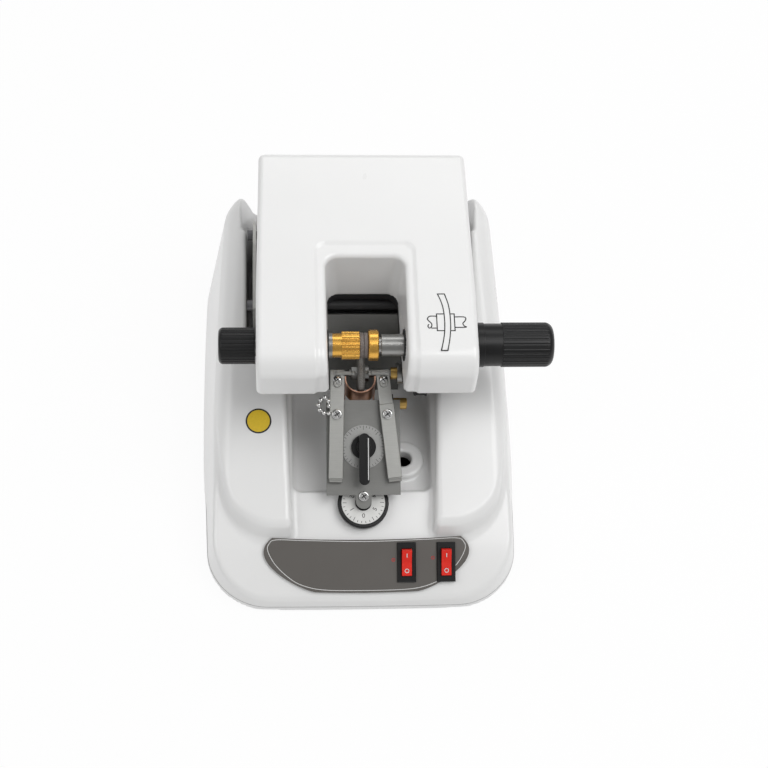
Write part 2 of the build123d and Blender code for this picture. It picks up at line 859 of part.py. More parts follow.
def make_head_frame():
    """Folded steel chassis inside the head: floor, outer ears and two inner ears."""
    front = tub_front_y + tub_wall + 4.0
    rear = head_rear_y - tub_inset - tub_wall - 2.0
    half = ear_x + ear_t
    inner = inner_ear_x
    low = frame_z
    frame = box(-half, half, front, rear, low, low + frame_t)
    frame -= box(-inner, inner, front - 1, notch_y + 8.0, low - 1, low + frame_t + 1)
    for side in (-1, 1):
        ear = box(side * ear_x, side * half, front, layshaft_y + 8, low, layshaft_z + 8)
        ear += box(side * ear_x, side * half, layshaft_y + 8, rear, low, low + 8)
        ear += box(side * ear_x, side * half, pivot_y - 8, pivot_y + 8, pivot_z - 6.5, low + 8)
        inner_ear = box(side * inner, side * (inner + ear_t), front, lens_y + 14, low, lens_z + 12)
        frame += ear + inner_ear
    gear_r = gear_module * (lay_gear_teeth / 2 + 1) + 1.0
    gear_half = gear_width / 2 + 1.0
    slot_z = frame_z + frame_t + 1
    frame -= box(gear_x - gear_half, gear_x + gear_half, layshaft_y - gear_r, layshaft_y + gear_r, low - 1, slot_z)
    for side in (-1, 1):
        frame -= rod_x(bush_r + 0.01, side * (inner - 1), side * (inner + ear_t + 1), lens_y, lens_z)
        frame -= rod_x(7.01, side * (ear_x - 1), side * (half + 1), lens_y, lens_z)
        frame -= rod_x(5.01, side * (ear_x - 1), side * (half + 1), layshaft_y, layshaft_z)
        frame -= rod_x(pivot_r + running_gap, side * (ear_x - 1), side * (half + 1), pivot_y, pivot_z)
    return frame


def make_notch_bush(side):
    """Black bush that shows as a ring in the notch's wall."""
    inner_r = quill_r if side > 0 else spindle_r
    x0 = notch_width / 2 - 1.4
    x1 = inner_ear_x + ear_t
    return ring_x(bush_r, inner_r + running_gap, side * x0, side * x1, lens_y, lens_z)


def make_side_bushes():
    bushes = []
    for side, inner_r in ((-1, spindle_r), (1, pulley_hub_r())):
        end = side * (ear_x + ear_t + ear_bush_t)
        bushes.append(ring_x(7.0, inner_r + running_gap, side * ear_x, end, lens_y, lens_z))
        bushes.append(
            ring_x(5.0, layshaft_r + running_gap, side * ear_x, side * (ear_x + ear_t), layshaft_y, layshaft_z)
        )
    return bushes


def pulley_hub_r():
    return shaft_r + 2.0


def make_pulley(x, y, z, bore):
    """Belt pulley with two thin flanges."""
    half = pulley_width / 2
    body = rod_x(pulley_r, x - half, x + half, y, z)
    for side in (-1, 1):
        body += rod_x(pulley_flange_r, x + side * (half - 0.4), x + side * half, y, z)
    return body - rod_x(bore, x - half - 1, x + half + 1, y, z)


def make_left_spindle():
    chuck_x = lens_plane_x - pad_t - chuck_length
    shaft = rod_x(spindle_r, -head_side - knob_gap - left_knob_length + 4, chuck_x + 4, lens_y, lens_z)
    collar = rod_x(7.0, -notch_width / 2 + 1.5, chuck_x, lens_y, lens_z)
    return shaft + collar


def fluted(radius, depth, flutes, x0, x1, flute_r):
    """A round bar along X with lengthwise flutes."""
    bar = rod_x(radius, x0, x1, lens_y, lens_z)
    for i in range(flutes):
        turn = 2 * pi * i / flutes
        away = radius + flute_r - depth
        bar -= rod_x(flute_r, x0 - 1, x1 + 1, lens_y + away * cos(turn), lens_z + away * sin(turn))
    return bar


def make_left_chuck():
    """Gold driver: a fluted barrel with a plain flange towards the knob."""
    x1 = lens_plane_x - pad_t
    x0 = x1 - chuck_length
    barrel = fluted(chuck_r, 0.5, 20, x0 + 5.2, x1, 0.8)
    flange = rod_x(chuck_r - 0.9, x0, x0 + 5.3, lens_y, lens_z)
    return barrel + flange - rod_x(spindle_r, x0 - 1, x0 + 4, lens_y, lens_z)


def make_pad(x0, x1):
    pad = rod_x(pad_r, x0, x1, lens_y, lens_z)
    return fillet(pad.edges(), 0.7)


def make_left_knob():
    x1 = -head_side - knob_gap
    x0 = x1 - left_knob_length
    knob = fluted(left_knob_r, knob_flute_depth, 28, x0, x1, 0.8)
    knob &= fillet(rod_x(left_knob_r, x0, x1, lens_y, lens_z).edges().sort_by(Axis.X)[0], 2.5)
    return knob - rod_x(spindle_r, x0 + 4, x1 + 1, lens_y, lens_z)


def make_right_knob():
    x0 = head_side + knob_gap
    x1 = x0 + right_knob_length
    grip = fluted(right_knob_r, knob_flute_depth, 30, x0 + 14, x1, 0.9)
    grip &= fillet(rod_x(right_knob_r, x0, x1, lens_y, lens_z).edges().sort_by(Axis.X)[-1], 4.5)
    collar = rod_x(right_knob_r, x0, x0 + 4.0, lens_y, lens_z)
    waist = rod_x(right_knob_r - 0.5, x0 + 3.9, x0 + 14.1, lens_y, lens_z)
    return grip + collar + waist - rod_x(shaft_r, x0 - 1, x0 + 20, lens_y, lens_z)


def make_right_disc():
    x0 = lens_plane_x + pad_t
    disc = chamfer(rod_x(disc_r, x0, x0 + disc_t, lens_y, lens_z).edges(), 0.5)
    return disc - rod_x(shaft_r, x0 - 1, x0 + disc_t + 1, lens_y, lens_z)


def make_right_spindle():
    """Steel quill and shaft that slide outwards to open the clamp."""
    disc_x0 = lens_plane_x + pad_t
    disc_x1 = disc_x0 + disc_t
    neck = rod_x(quill_r - 1.5, disc_x1, disc_x1 + neck_t, lens_y, lens_z)
    quill = rod_x(quill_r, disc_x1 + neck_t, quill_end_x, lens_y, lens_z)
    shaft = rod_x(shaft_r, disc_x0, head_side + knob_gap + 20, lens_y, lens_z)
    return neck + quill + shaft


def make_right_drive_pulley():
    """Pulley that turns the right shaft but lets it slide through."""
    pulley = make_pulley(right_belt_x, lens_y, lens_z, shaft_r + running_gap)
    half = pulley_width / 2
    hub_end = ear_x + ear_t + ear_bush_t
    hub = ring_x(pulley_hub_r(), shaft_r + running_gap, right_belt_x + half, hub_end, lens_y, lens_z)
    return pulley + hub


def make_clamp_spring():
    """Compression spring on the right shaft, as a plain sleeve of its size."""
    x1 = right_belt_x - pulley_width / 2
    return ring_x(spring_r, spring_bore_r, quill_end_x, x1, lens_y, lens_z)


def belt_loop(x, width, thick, y0, z0, r0, y1, z1, r1):
    """A belt round two pulleys that turn about X."""
    def wrap(extra):
        a = Pos(y0, z0) * Circle(r0 + extra)
        b = Pos(y1, z1) * Circle(r1 + extra)
        return make_hull([a.edges(), b.edges()])
    band = wrap(belt_gap + thick) - wrap(belt_gap)
    return slab_x(Plane.YZ * band, x - width / 2, x + width / 2)


def make_head_belt(x):
    return belt_loop(x, belt_width, belt_t, lens_y, lens_z, pulley_r, layshaft_y, layshaft_z, pulley_r)


def involute_angle(base_r, r):
    """Angle swept by the tooth's flank between its base circle and radius r."""
    if r <= base_r:
        return 0.0
    pressure = acos(base_r / r)
    return tan(pressure) - pressure


def make_gear(teeth, bore, x, width, y, z, turn):
    """A spur gear about X with one tooth centred on the direction turn."""
    pitch_r = gear_module * teeth / 2
    base_r = pitch_r * cos(radians(20))
    tip_r = pitch_r + gear_module
    root_r = pitch_r - 1.25 * gear_module
    half_tooth = (pi * gear_module / 2 - gear_backlash) / 2 / pitch_r + involute_angle(base_r, pitch_r)
    radii = [root_r, max(root_r, base_r), (max(root_r, base_r) + pitch_r) / 2, pitch_r]
    radii += [(pitch_r + tip_r) / 2, tip_r]
    flank = [(r, half_tooth - involute_angle(base_r, r)) for r in radii]
    if base_r <= root_r:
        flank = flank[1:]
    points = []
    for i in range(teeth):
        middle = turn + 2 * pi * i / teeth
        for r, half in flank:
            points.append((r * cos(middle - half), r * sin(middle - half)))
        for r, half in reversed(flank):
            points.append((r * cos(middle + half), r * sin(middle + half)))
    face = make_face(Polyline(*points, close=True)) - Circle(bore)
    return Pos(x - width / 2, y, z) * extrude(Plane.YZ * face, amount=width, dir=(1, 0, 0))


def motor_axis_y():
    return layshaft_y + gear_module * (lay_gear_teeth + pinion_teeth) / 2


def make_layshaft():
    return rod_x(layshaft_r, -ear_x - ear_t, ear_x + ear_t, layshaft_y, layshaft_z)


def make_lay_gear():
    return make_gear(lay_gear_teeth, layshaft_r, gear_x, gear_width, layshaft_y, layshaft_z, 0.0)


def make_motor_pinion():
    step = pi / pinion_teeth
    gear = make_gear(pinion_teeth, 1.5, gear_x, gear_width, motor_axis_y(), layshaft_z, pi + step)
    return gear + rod_x(1.5, gear_x - 3, gear_x + gear_width, motor_axis_y(), layshaft_z)


def make_lens_motor():
    x0 = gear_x + gear_width + 0.5
    can = rod_x(lens_motor_r, x0, x0 + lens_motor_length, motor_axis_y(), layshaft_z)
    boss = rod_x(7.0, x0 + lens_motor_length, x0 + lens_motor_length + 3, motor_axis_y(), layshaft_z)
    return chamfer(can.edges(), 0.8) + boss


def make_lens_motor_clamp():
    x0 = gear_x + gear_width + 8
    y = motor_axis_y()
    strap = ring_x(lens_motor_r + 1.6, lens_motor_r, x0, x0 + 12, y, layshaft_z)
    strap &= box(x0 - 1, x0 + 13, y - 30, y + 30, frame_z + frame_t, layshaft_z + 30)
    strap += box(x0, x0 + 12, y - 22, y - lens_motor_r, frame_z + frame_t, frame_z + frame_t + 1.6)
    strap -= rod_x(lens_motor_r, x0 - 2, x0 + 14, y, layshaft_z)
    return strap


def make_hinge_bracket(side):
    """Steel side plate with a folded foot on the bay floor."""
    x0 = side * bracket_x
    x1 = side * (bracket_x + bracket_t)
    outline = [
        (bracket_front_y, floor_z),
        (bracket_rear_y, floor_z),
        (bracket_rear_y, pivot_z + 2),
        (pivot_y + 3, pivot_z + 8),
        (pivot_y - 12, pivot_z + 8),
        (bracket_front_y + 3, rest_bar_z() + 6),
        (bracket_front_y, rest_bar_z() + 2),
    ]
    plate = slab_x(side_face(outline), min(x0, x1), max(x0, x1))
    foot_x1 = side * (bracket_x - bracket_foot)
    foot = box(x0, foot_x1, bracket_front_y + 4, bracket_rear_y - 4, floor_z, floor_z + bracket_t)
    bracket = plate + foot
    for y in (bracket_front_y + 14, bracket_rear_y - 14):
        bracket -= post_z(m3_r + 0.2, side * (bracket_x - bracket_foot / 2), y, 0, far)
    bracket -= rod_x(pivot_r, side * (bracket_x - 1), side * (bracket_x + 4), pivot_y, pivot_z)
    bracket -= rod_x(rest_bolt_r, side * (bracket_x - 1), side * (bracket_x + 4), rest_bar_y, rest_bar_z())
    return bracket


def make_bracket_screws():
    screws = []
    for side in (-1, 1):
        for y in (bracket_front_y + 14, bracket_rear_y - 14):
            x = side * (bracket_x - bracket_foot / 2)
            z = floor_z + bracket_t
            screws.append(post_z(m3_head_r, x, y, z, z + m3_head_h) + post_z(m3_r, x, y, floor_z, z + 0.1))
    return screws


def make_pivot_bolts():
    bolts = []
    for side in (-1, 1):
        shank = rod_x(pivot_r, side * (ear_x - 1.0), side * (bracket_x + bracket_t), pivot_y, pivot_z)
        head_x = side * (bracket_x + bracket_t)
        head = rod_x(pivot_head_r, head_x, head_x + side * bolt_head_t, pivot_y, pivot_z)
        bolts.append(shank + head)
    return bolts


def tub_bottom_z(y):
    """Underside of the tub where it rests on the bar."""
    share = (y - tub_front_y) / (tub_mid_y - tub_front_y)
    return tub_front_z + share * (tub_mid_z - tub_front_z)


def rest_bar_z():
    return tub_bottom_z(rest_bar_y) - rest_bar_r - rest_gap


def make_rest_bar():
    bar = rod_x(rest_bar_r, -bracket_x, bracket_x, rest_bar_y, rest_bar_z())
    for side in (-1, 1):
        bar -= rod_x(rest_bolt_r, side * (bracket_x - 8), side * (bracket_x + 1), rest_bar_y, rest_bar_z())
    return bar


def make_rest_bolts():
    bolts = []
    for side in (-1, 1):
        head_x = side * (bracket_x + bracket_t)
        head_end = head_x + side * bolt_head_t
        shank = rod_x(rest_bolt_r, side * (bracket_x - 7), head_x, rest_bar_y, rest_bar_z())
        bolts.append(shank + rod_x(pivot_head_r, head_x, head_end, rest_bar_y, rest_bar_z()))
    return bolts


def make_splash_guard():
    """Dark folded sheet between the wheel and the motor."""
    outline = [
        (guard_sheet_y, floor_z),
        (guard_sheet_y + guard_sheet_t, floor_z),
        (guard_bend_y + guard_sheet_t * 0.9, guard_bend_z - guard_sheet_t * 0.4),
        (guard_top_y + guard_sheet_t * 0.9, guard_top_z - guard_sheet_t * 0.5),
        (guard_top_y, guard_top_z),
        (guard_bend_y, guard_bend_z),
    ]
    return slab_x(side_face(outline), guard_sheet_left_x, motor_plate_x - 0.5)


def make_wheel_motor():
    x1 = motor_plate_x
    can = chamfer(rod_x(motor_r, x1 - motor_length, x1, motor_y, motor_z).edges(), 1.2)
    return can + rod_x(7.0, x1 - motor_length - 4, x1 - motor_length, motor_y, motor_z)


def make_motor_plate():
    x0 = motor_plate_x
    x1 = x0 + motor_plate_t
    front_y = motor_y - motor_plate_half
    rear_y = motor_y + motor_plate_half
    top_z = motor_z + motor_r + motor_plate_t
    plate = box(x0, x1, front_y, rear_y, floor_z, top_z)
    for y in (front_y, rear_y - 8.0):
        plate += box(x0, x1 + motor_plate_foot, y, y + 8.0, floor_z, floor_z + motor_plate_t)
    arm = [
        (front_y + 1, top_z),
        (front_y + 1, motor_z),
        (wheel_y, wheel_z - carrier_eye_r),
        (wheel_y, wheel_z + carrier_eye_r),
    ]
    plate += slab_x(side_face(arm), x0, x1)
    plate += rod_x(carrier_eye_r, x0, x1, wheel_y, wheel_z)
    plate -= rod_x(block_r, x0 - 1, x1 + 1, wheel_y, wheel_z)
    return plate - rod_x(6.0, x0 - 1, x1 + 1, motor_y, motor_z)


def make_motor_shaft():
    return rod_x(motor_shaft_r, motor_plate_x + 0.2, wheel_shaft_end_x, motor_y, motor_z)


def flat_pulley(radius, x, width, y, z, bore):
    body = rod_x(radius, x - width / 2, x + width / 2, y, z)
    for side in (-1, 1):
        x0 = x + side * (width / 2 - 0.8)
        body += rod_x(radius + belt_t + 0.6, x0, x + side * width / 2, y, z)
    return body - rod_x(bore, x - width, x + width, y, z)


def make_wheel_pulley():
    seat_r = wheel_pulley_r - belt_t - 0.6
    return flat_pulley(seat_r, wheel_pulley_x, wheel_pulley_t, wheel_y, wheel_z, wheel_shaft_r)


def make_motor_pulley():
    seat_r = motor_pulley_r - belt_t - 0.6
    return flat_pulley(seat_r, wheel_pulley_x, wheel_pulley_t, motor_y, motor_z, motor_shaft_r)


def make_drive_belt():
    big = wheel_pulley_r - belt_t - 0.6
    small = motor_pulley_r - belt_t - 0.6
    width = wheel_pulley_t - 2.4
    return belt_loop(wheel_pulley_x, width, belt_t, wheel_y, wheel_z, big, motor_y, motor_z, small)


def make_wheel_shaft():
    left = lens_plane_x - wheel_t / 2 - 4.5
    shaft = rod_x(wheel_shaft_r, left, wheel_shaft_end_x, wheel_y, wheel_z)
    flange_x = lens_plane_x + wheel_t / 2
    return shaft + rod_x(5.0, flange_x, flange_x + 2.5, wheel_y, wheel_z)


def make_grooving_wheel():
    """Fine-grit disc with a narrow rim that cuts the groove."""
    x0 = lens_plane_x - wheel_t / 2
    x1 = lens_plane_x + wheel_t / 2
    body = rod_x(wheel_r, x0, x1, wheel_y, wheel_z)
    body = chamfer(body.edges(), 1.0)
    return body - rod_x(wheel_shaft_r, x0 - 1, x1 + 1, wheel_y, wheel_z)


def make_wheel_nut():
    x1 = lens_plane_x - wheel_t / 2
    hexagon = Plane.YZ * RegularPolygon(4.2, 6)
    nut = Pos(0, wheel_y, wheel_z) * slab_x(hexagon, x1 - 3.2, x1)
    return nut - rod_x(wheel_shaft_r, x1 - 6, x1 + 1, wheel_y, wheel_z)


def make_bearing_block():
    """Round housing held in the eye of the motor plate's front arm."""
    block = ring_x(block_r, wheel_bush_r, block_x, block_x + block_t, wheel_y, wheel_z)
    flange = ring_x(block_flange_r, wheel_bush_r, block_x, motor_plate_x, wheel_y, wheel_z)
    return block + flange


def make_wheel_bush():
    x1 = block_x + block_t
    return ring_x(wheel_bush_r, wheel_shaft_r + running_gap, wheel_bush_x, x1, wheel_y, wheel_z)


def make_wheel_guard():
    """Copper cup round the wheel's front, on two legs down to the well's floor."""
    outer_r = guard_r + guard_t
    height = guard_high_z - guard_low_z

    def cup_plan(radius):
        front = Circle(radius) & Pos(0, -radius) * Rectangle(2 * radius, 2 * radius)
        depth = guard_rear_y - guard_y
        return Pos(guard_x, guard_y) * (front + Pos(0, depth / 2) * Rectangle(2 * radius, depth))

    cup = extrude(Pos(0, 0, guard_low_z) * (cup_plan(outer_r) - cup_plan(guard_r)), amount=height)
    for side in (-1, 1):
        x0 = guard_x + side * guard_r
        x1 = guard_x + side * outer_r
        cup += box(x0, x1, guard_leg_y, guard_rear_y, floor_z, guard_high_z)
        cup += box(x0, x0 + side * guard_foot, guard_leg_y, guard_rear_y, floor_z, floor_z + guard_t)
    return cup


def stage_solid(shape):
    return stage_plane * shape


def make_stage_plate():
    """Sloping plate with a round front tab and two pivot lugs folded down at its back."""
    half = stage_width / 2
    plate = Pos(0, stage_length / 2, -stage_t / 2) * Box(stage_width, stage_length, stage_t)
    tab = Pos(0, -tab_reach / 2 + tab_width / 4, -stage_t / 2)
    tab *= Box(tab_width, tab_reach - tab_width / 2, stage_t)
    tab += Pos(0, -tab_reach + tab_width / 2, -stage_t / 2) * Cylinder(tab_width / 2, stage_t)
    plate += tab + Pos(0, 0.5, -stage_t / 2) * Box(tab_width, 2.0, stage_t)
    plate -= Pos(0, tab_screw_v, 0) * Cylinder(1.25, 8.0)
    body = stage_solid(plate)
    rear_y = stage_y + stage_length * cos(radians(stage_slope))
    rear_z = stage_z + stage_length * sin(radians(stage_slope))
    for side in (-1, 1):
        x0 = side * lug_x
        x1 = side * (lug_x + stage_t)
        outline = [(rear_y - 12, rear_z - 7.4), (rear_y - 0.5, rear_z - 1.2), (rear_y + 1.5, rear_z - 3)]
        outline += [(stage_pivot_y + 4, stage_pivot_z), (stage_pivot_y - 3, stage_pivot_z - 3)]
        lug = slab_x(side_face(outline), min(x0, x1), max(x0, x1))
        lug += rod_x(stage_lug_r, x0, x1, stage_pivot_y, stage_pivot_z)
        body += lug
    for x, v in ((0, lever_v), (left_arm_x, arm_pivot_v), (right_arm_x, arm_pivot_v)):
        body -= stage_solid(Pos(x, v, 0) * Cylinder(arm_screw_r, 8.0))
    return body - rod_x(stage_pin_r + running_gap, -half, half, stage_pivot_y, stage_pivot_z)


def make_stage_bracket():
    """Channel on the well floor that holds the stage's pin."""
    x1 = upright_x + upright_t
    y0 = stage_pivot_y - 6
    y1 = stage_pivot_y + 5
    bracket = box(-x1, x1, y0, y1, floor_z, floor_z + 2)
    for side in (-1, 1):
        bracket += box(side * upright_x, side * x1, y0, y1, floor_z, stage_pivot_z)
        bracket += rod_x(5.5, side * upright_x, side * x1, stage_pivot_y, stage_pivot_z)
    return bracket - rod_x(stage_pin_r, -x1 - 1, x1 + 1, stage_pivot_y, stage_pivot_z)


def make_stage_pin():
    """Brass pin with a long knurled nut on its right end."""
    x1 = upright_x + upright_t
    pin = rod_x(stage_pin_r, -x1, x1 + pin_nut_length, stage_pivot_y, stage_pivot_z)
    nut = rod_x(pin_nut_r, x1, x1 + pin_nut_length, stage_pivot_y, stage_pivot_z)
    nut = chamfer(nut.edges(), 0.5)
    return pin + nut + rod_x(pin_nut_r, -x1 - 1.2, -x1, stage_pivot_y, stage_pivot_z)


def pan_head(radius, height, slot):
    """A domed screw head with a cross recess, standing on z = 0."""
    head = Pos(0, 0, height / 2) * Cylinder(radius, height)
    head = fillet(head.edges().sort_by(Axis.Z)[-1], height * 0.45)
    for angle in (35, 125):
        head -= Pos(0, 0, height) * Rot(0, 0, angle) * Box(radius * 1.1, slot, height * 0.9)
    return head


def make_tab_screw():
    shank = Pos(0, 0, -stage_t / 2) * Cylinder(1.25, stage_t)
    return stage_solid(Pos(0, tab_screw_v, 0) * (shank + pan_head(screw_head_r, screw_head_h, 0.6)))


def make_arm_posts():
    """Spacer under each arm's pivot, with the arm's toothed sector below it left free."""
    posts = []
    for x in (left_arm_x, right_arm_x):
        post = Cylinder(post_radius, arm_w) - Cylinder(arm_screw_r, arm_w + 1)
        posts.append(stage_solid(Pos(x, arm_pivot_v, arm_w / 2) * post))
    return posts


def make_arm_pivot_screws():
    screws = []
    top = arm_w + arm_t + 0.1
    for x in (left_arm_x, right_arm_x):
        shank = Pos(0, 0, (top - stage_t) / 2) * Cylinder(arm_screw_r, top + stage_t)
        head = Pos(0, 0, top) * pan_head(screw_head_r, screw_head_h, 0.6)
        screws.append(stage_solid(Pos(x, arm_pivot_v, 0) * (shank + head)))
    return screws


def arm_frame(x, angle):
    """Place of an arm: its pivot at the origin, its length along y."""
    return Pos(x, arm_pivot_v, 0) * Rot(0, 0, angle)


def arm_bar(front, rear):
    bar = Pos(0, (front + rear) / 2, arm_w + arm_t / 2) * Box(arm_width, rear - front, arm_t)
    return chamfer(bar.faces().sort_by(Axis.Z)[-1].edges(), 0.3)


def arm_hook(front):
    hook = Pos(0, front, arm_w + arm_t - hook_r) * Rot(0, 90, 0) * Cylinder(hook_r, arm_width - 1)
    return hook & Pos(0, front - 5, 5) * Box(20, 10, 20)


def make_left_arm():
    front = arm_front_v - arm_pivot_v
    arm = arm_bar(front, arm_rear_v - arm_pivot_v) + arm_hook(front)
    arm -= Cylinder(arm_screw_r + running_gap, 20)
    arm -= Pos(0, tip_screw_v - arm_pivot_v, 0) * Cylinder(1.25, 20)
    return stage_solid(arm_frame(left_arm_x, -left_arm_angle) * arm)


def make_right_arm():
    front = arm_front_v - arm_pivot_v
    arm = arm_bar(front, tip_joint_v - arm_pivot_v) + arm_hook(front)
    arm -= Cylinder(arm_screw_r + running_gap, 20)
    return stage_solid(arm_frame(right_arm_x, right_arm_angle) * arm)


def make_right_arm_tip():
    """Front half of the right arm, let in flush behind the step."""
    front = tip_joint_v - arm_pivot_v
    rear = arm_rear_v - arm_pivot_v
    tip = Pos(0, (front + rear) / 2, arm_w + (arm_t - 0.5) / 2) * Box(arm_width - 0.8, rear - front, arm_t - 0.5)
    tip -= Pos(0, tip_screw_v - arm_pivot_v, 0) * Cylinder(1.25, 20)
    return stage_solid(arm_frame(right_arm_x, right_arm_angle) * tip)


def make_finger(side):
    """Rod from the arm's end in towards the lens, with a ball that touches it."""
    x = left_arm_x if side < 0 else right_arm_x
    tip_x = lens_plane_x + side * (wheel_t / 2 + finger_gap + finger_ball_r)
    near_x = x + side * 0.5
    rod = Pos((tip_x + near_x) / 2, finger_v, finger_w) * Rot(0, 90, 0) * Cylinder(finger_r, abs(tip_x - near_x))
    ball = Pos(tip_x, finger_v, finger_w) * Sphere(finger_ball_r)
    top = arm_w + (arm_t if side < 0 else arm_t - 0.5)
    seat_x = x if side < 0 else x - (tip_screw_v - arm_pivot_v) * sin(radians(right_arm_angle))
    foot = Pos(seat_x, finger_v, (finger_w + top) / 2) * Box(3.0, 1.6, finger_w - top)
    return stage_solid(rod + ball + foot)


def make_tip_screw(side):
    x = left_arm_x if side < 0 else right_arm_x
    angle = -left_arm_angle if side < 0 else right_arm_angle
    top = arm_w + (arm_t if side < 0 else arm_t - 0.5)
    head = Pos(0, 0, top) * pan_head(screw_head_r - 0.5, screw_head_h - 0.5, 0.5)
    screw = head + Pos(0, 0, (top + arm_w) / 2) * Cylinder(1.25, top - arm_w)
    return stage_solid(arm_frame(x, angle) * Pos(0, tip_screw_v - 3.4 - arm_pivot_v + 0.6, 0) * screw)


def make_position_scale():
    """Bright ring under the lever."""
    ring = Cylinder(scale_r, scale_t) - Cylinder(arm_screw_r + 0.2, 2)
    return stage_solid(Pos(0, lever_v, scale_t / 2) * ring)


def make_lever_pin():
    """Pin that the lever turns on, hidden under its blade."""
    top = lever_blade_w - running_gap
    pin = Pos(0, 0, (top - stage_t) / 2) * Cylinder(arm_screw_r - running_gap, top + stage_t)
    return stage_solid(Pos(0, lever_v, 0) * pin)


def make_lever():
    """Round hub with a raised blade that points at the scale."""
    w0 = scale_t + 0.2
    hub = Pos(0, 0, (w0 + arm_w - 0.2) / 2) * Cylinder(lever_disc_r, arm_w - 0.2 - w0)
    neck = Pos(0, 0, (arm_w + lever_blade_w) / 2) * Cylinder(4.0, lever_blade_w - arm_w + 0.6)
    length = lever_reach + lever_tail
    blade = Pos(0, (lever_tail - lever_reach) / 2, lever_blade_w + lever_blade_h / 2)
    blade *= Box(lever_width, length, lever_blade_h)
    blade = fillet(blade.edges().filter_by(Axis.Z), lever_width / 2 - 0.2)
    lever = hub + neck + blade - Cylinder(arm_screw_r + 0.02, 2 * lever_blade_w)
    return stage_solid(Pos(0, lever_v, 0) * lever)


def make_bead_chain():
    """Short loop of ball chain beside the left arm."""
    path = [(-19.6, 46.4), (-22.4, 46.6), (-24.8, 48.4), (-25.4, 51.2), (-24.2, 53.9), (-21.8, 55.4)]
    path += [(-19.9, 53.4), (-19.6, 50.6)]
    w = arm_w + arm_t + bead_r + 0.1
    chain = [Pos(x, v, w) * Sphere(bead_r) for x, v in path]
    for (x0, v0), (x1, v1) in zip(path, path[1:]):
        span = sqrt((x1 - x0) ** 2 + (v1 - v0) ** 2)
        bare = span - 2 * sqrt(bead_r ** 2 - bead_wire_r ** 2)
        link = Pos((x0 + x1) / 2, (v0 + v1) / 2, w) * Rot(0, 0, degrees(atan2(v1 - v0, x1 - x0)))
        chain.append(link * (Rot(0, 90, 0) * Cylinder(bead_wire_r, bare)))
    return [stage_solid(piece) for piece in chain]


def dial_solid(shape):
    return dial_plane * shape


def make_dial():
    knob = Pos(0, 0, -dial_t / 2) * Cylinder(dial_r, dial_t)
    knob = fillet(knob.edges(), 0.8)
    knob -= Cylinder(dial_face_r + 0.1, 0.6)
    hub = Pos(0, 0, 0.2) * Cylinder(dial_hub_r, 1.4)
    return dial_solid(knob + hub - Cylinder(stem_r + running_gap, 20))


def make_dial_face():
    face = Pos(0, 0, -0.3 + dial_face_t / 2) * Cylinder(dial_face_r, dial_face_t)
    return dial_solid(face - Cylinder(dial_hub_r + 0.1, 4))


def make_stem():
    low = -dial_t - 6.0
    stem = Pos(0, 0, (low + stem_reach) / 2) * Cylinder(stem_r, stem_reach - low)
    return dial_solid(fillet(stem.edges().sort_by(Axis.Z)[-1], 1.2))


def make_dial_bush():
    """Flanged bush pressed through the shelf, under the dial."""
    top = -dial_t - dial_gap
    tube = Pos(0, 0, top - dial_bush_length / 2) * Cylinder(dial_bush_r, dial_bush_length)
    flange = Pos(0, 0, top - dial_flange_t / 2) * Cylinder(dial_bush_r + 2.0, dial_flange_t)
    return dial_solid(tube + flange - Cylinder(stem_r + running_gap, 60))


def make_cover_screws():
    """Screws up through the tub into the head's frame."""
    screws = []
    x_out = ear_x - 5.0
    for x, y in ((-x_out, 182), (x_out, 182), (-x_out, 206), (x_out, 206)):
        z = tub_low_z
        head = post_z(m3_head_r, x, y, z - 1.6, z)
        screws.append(head + post_z(m3_r - thread_gap, x, y, z - 0.1, frame_z))
    return screws


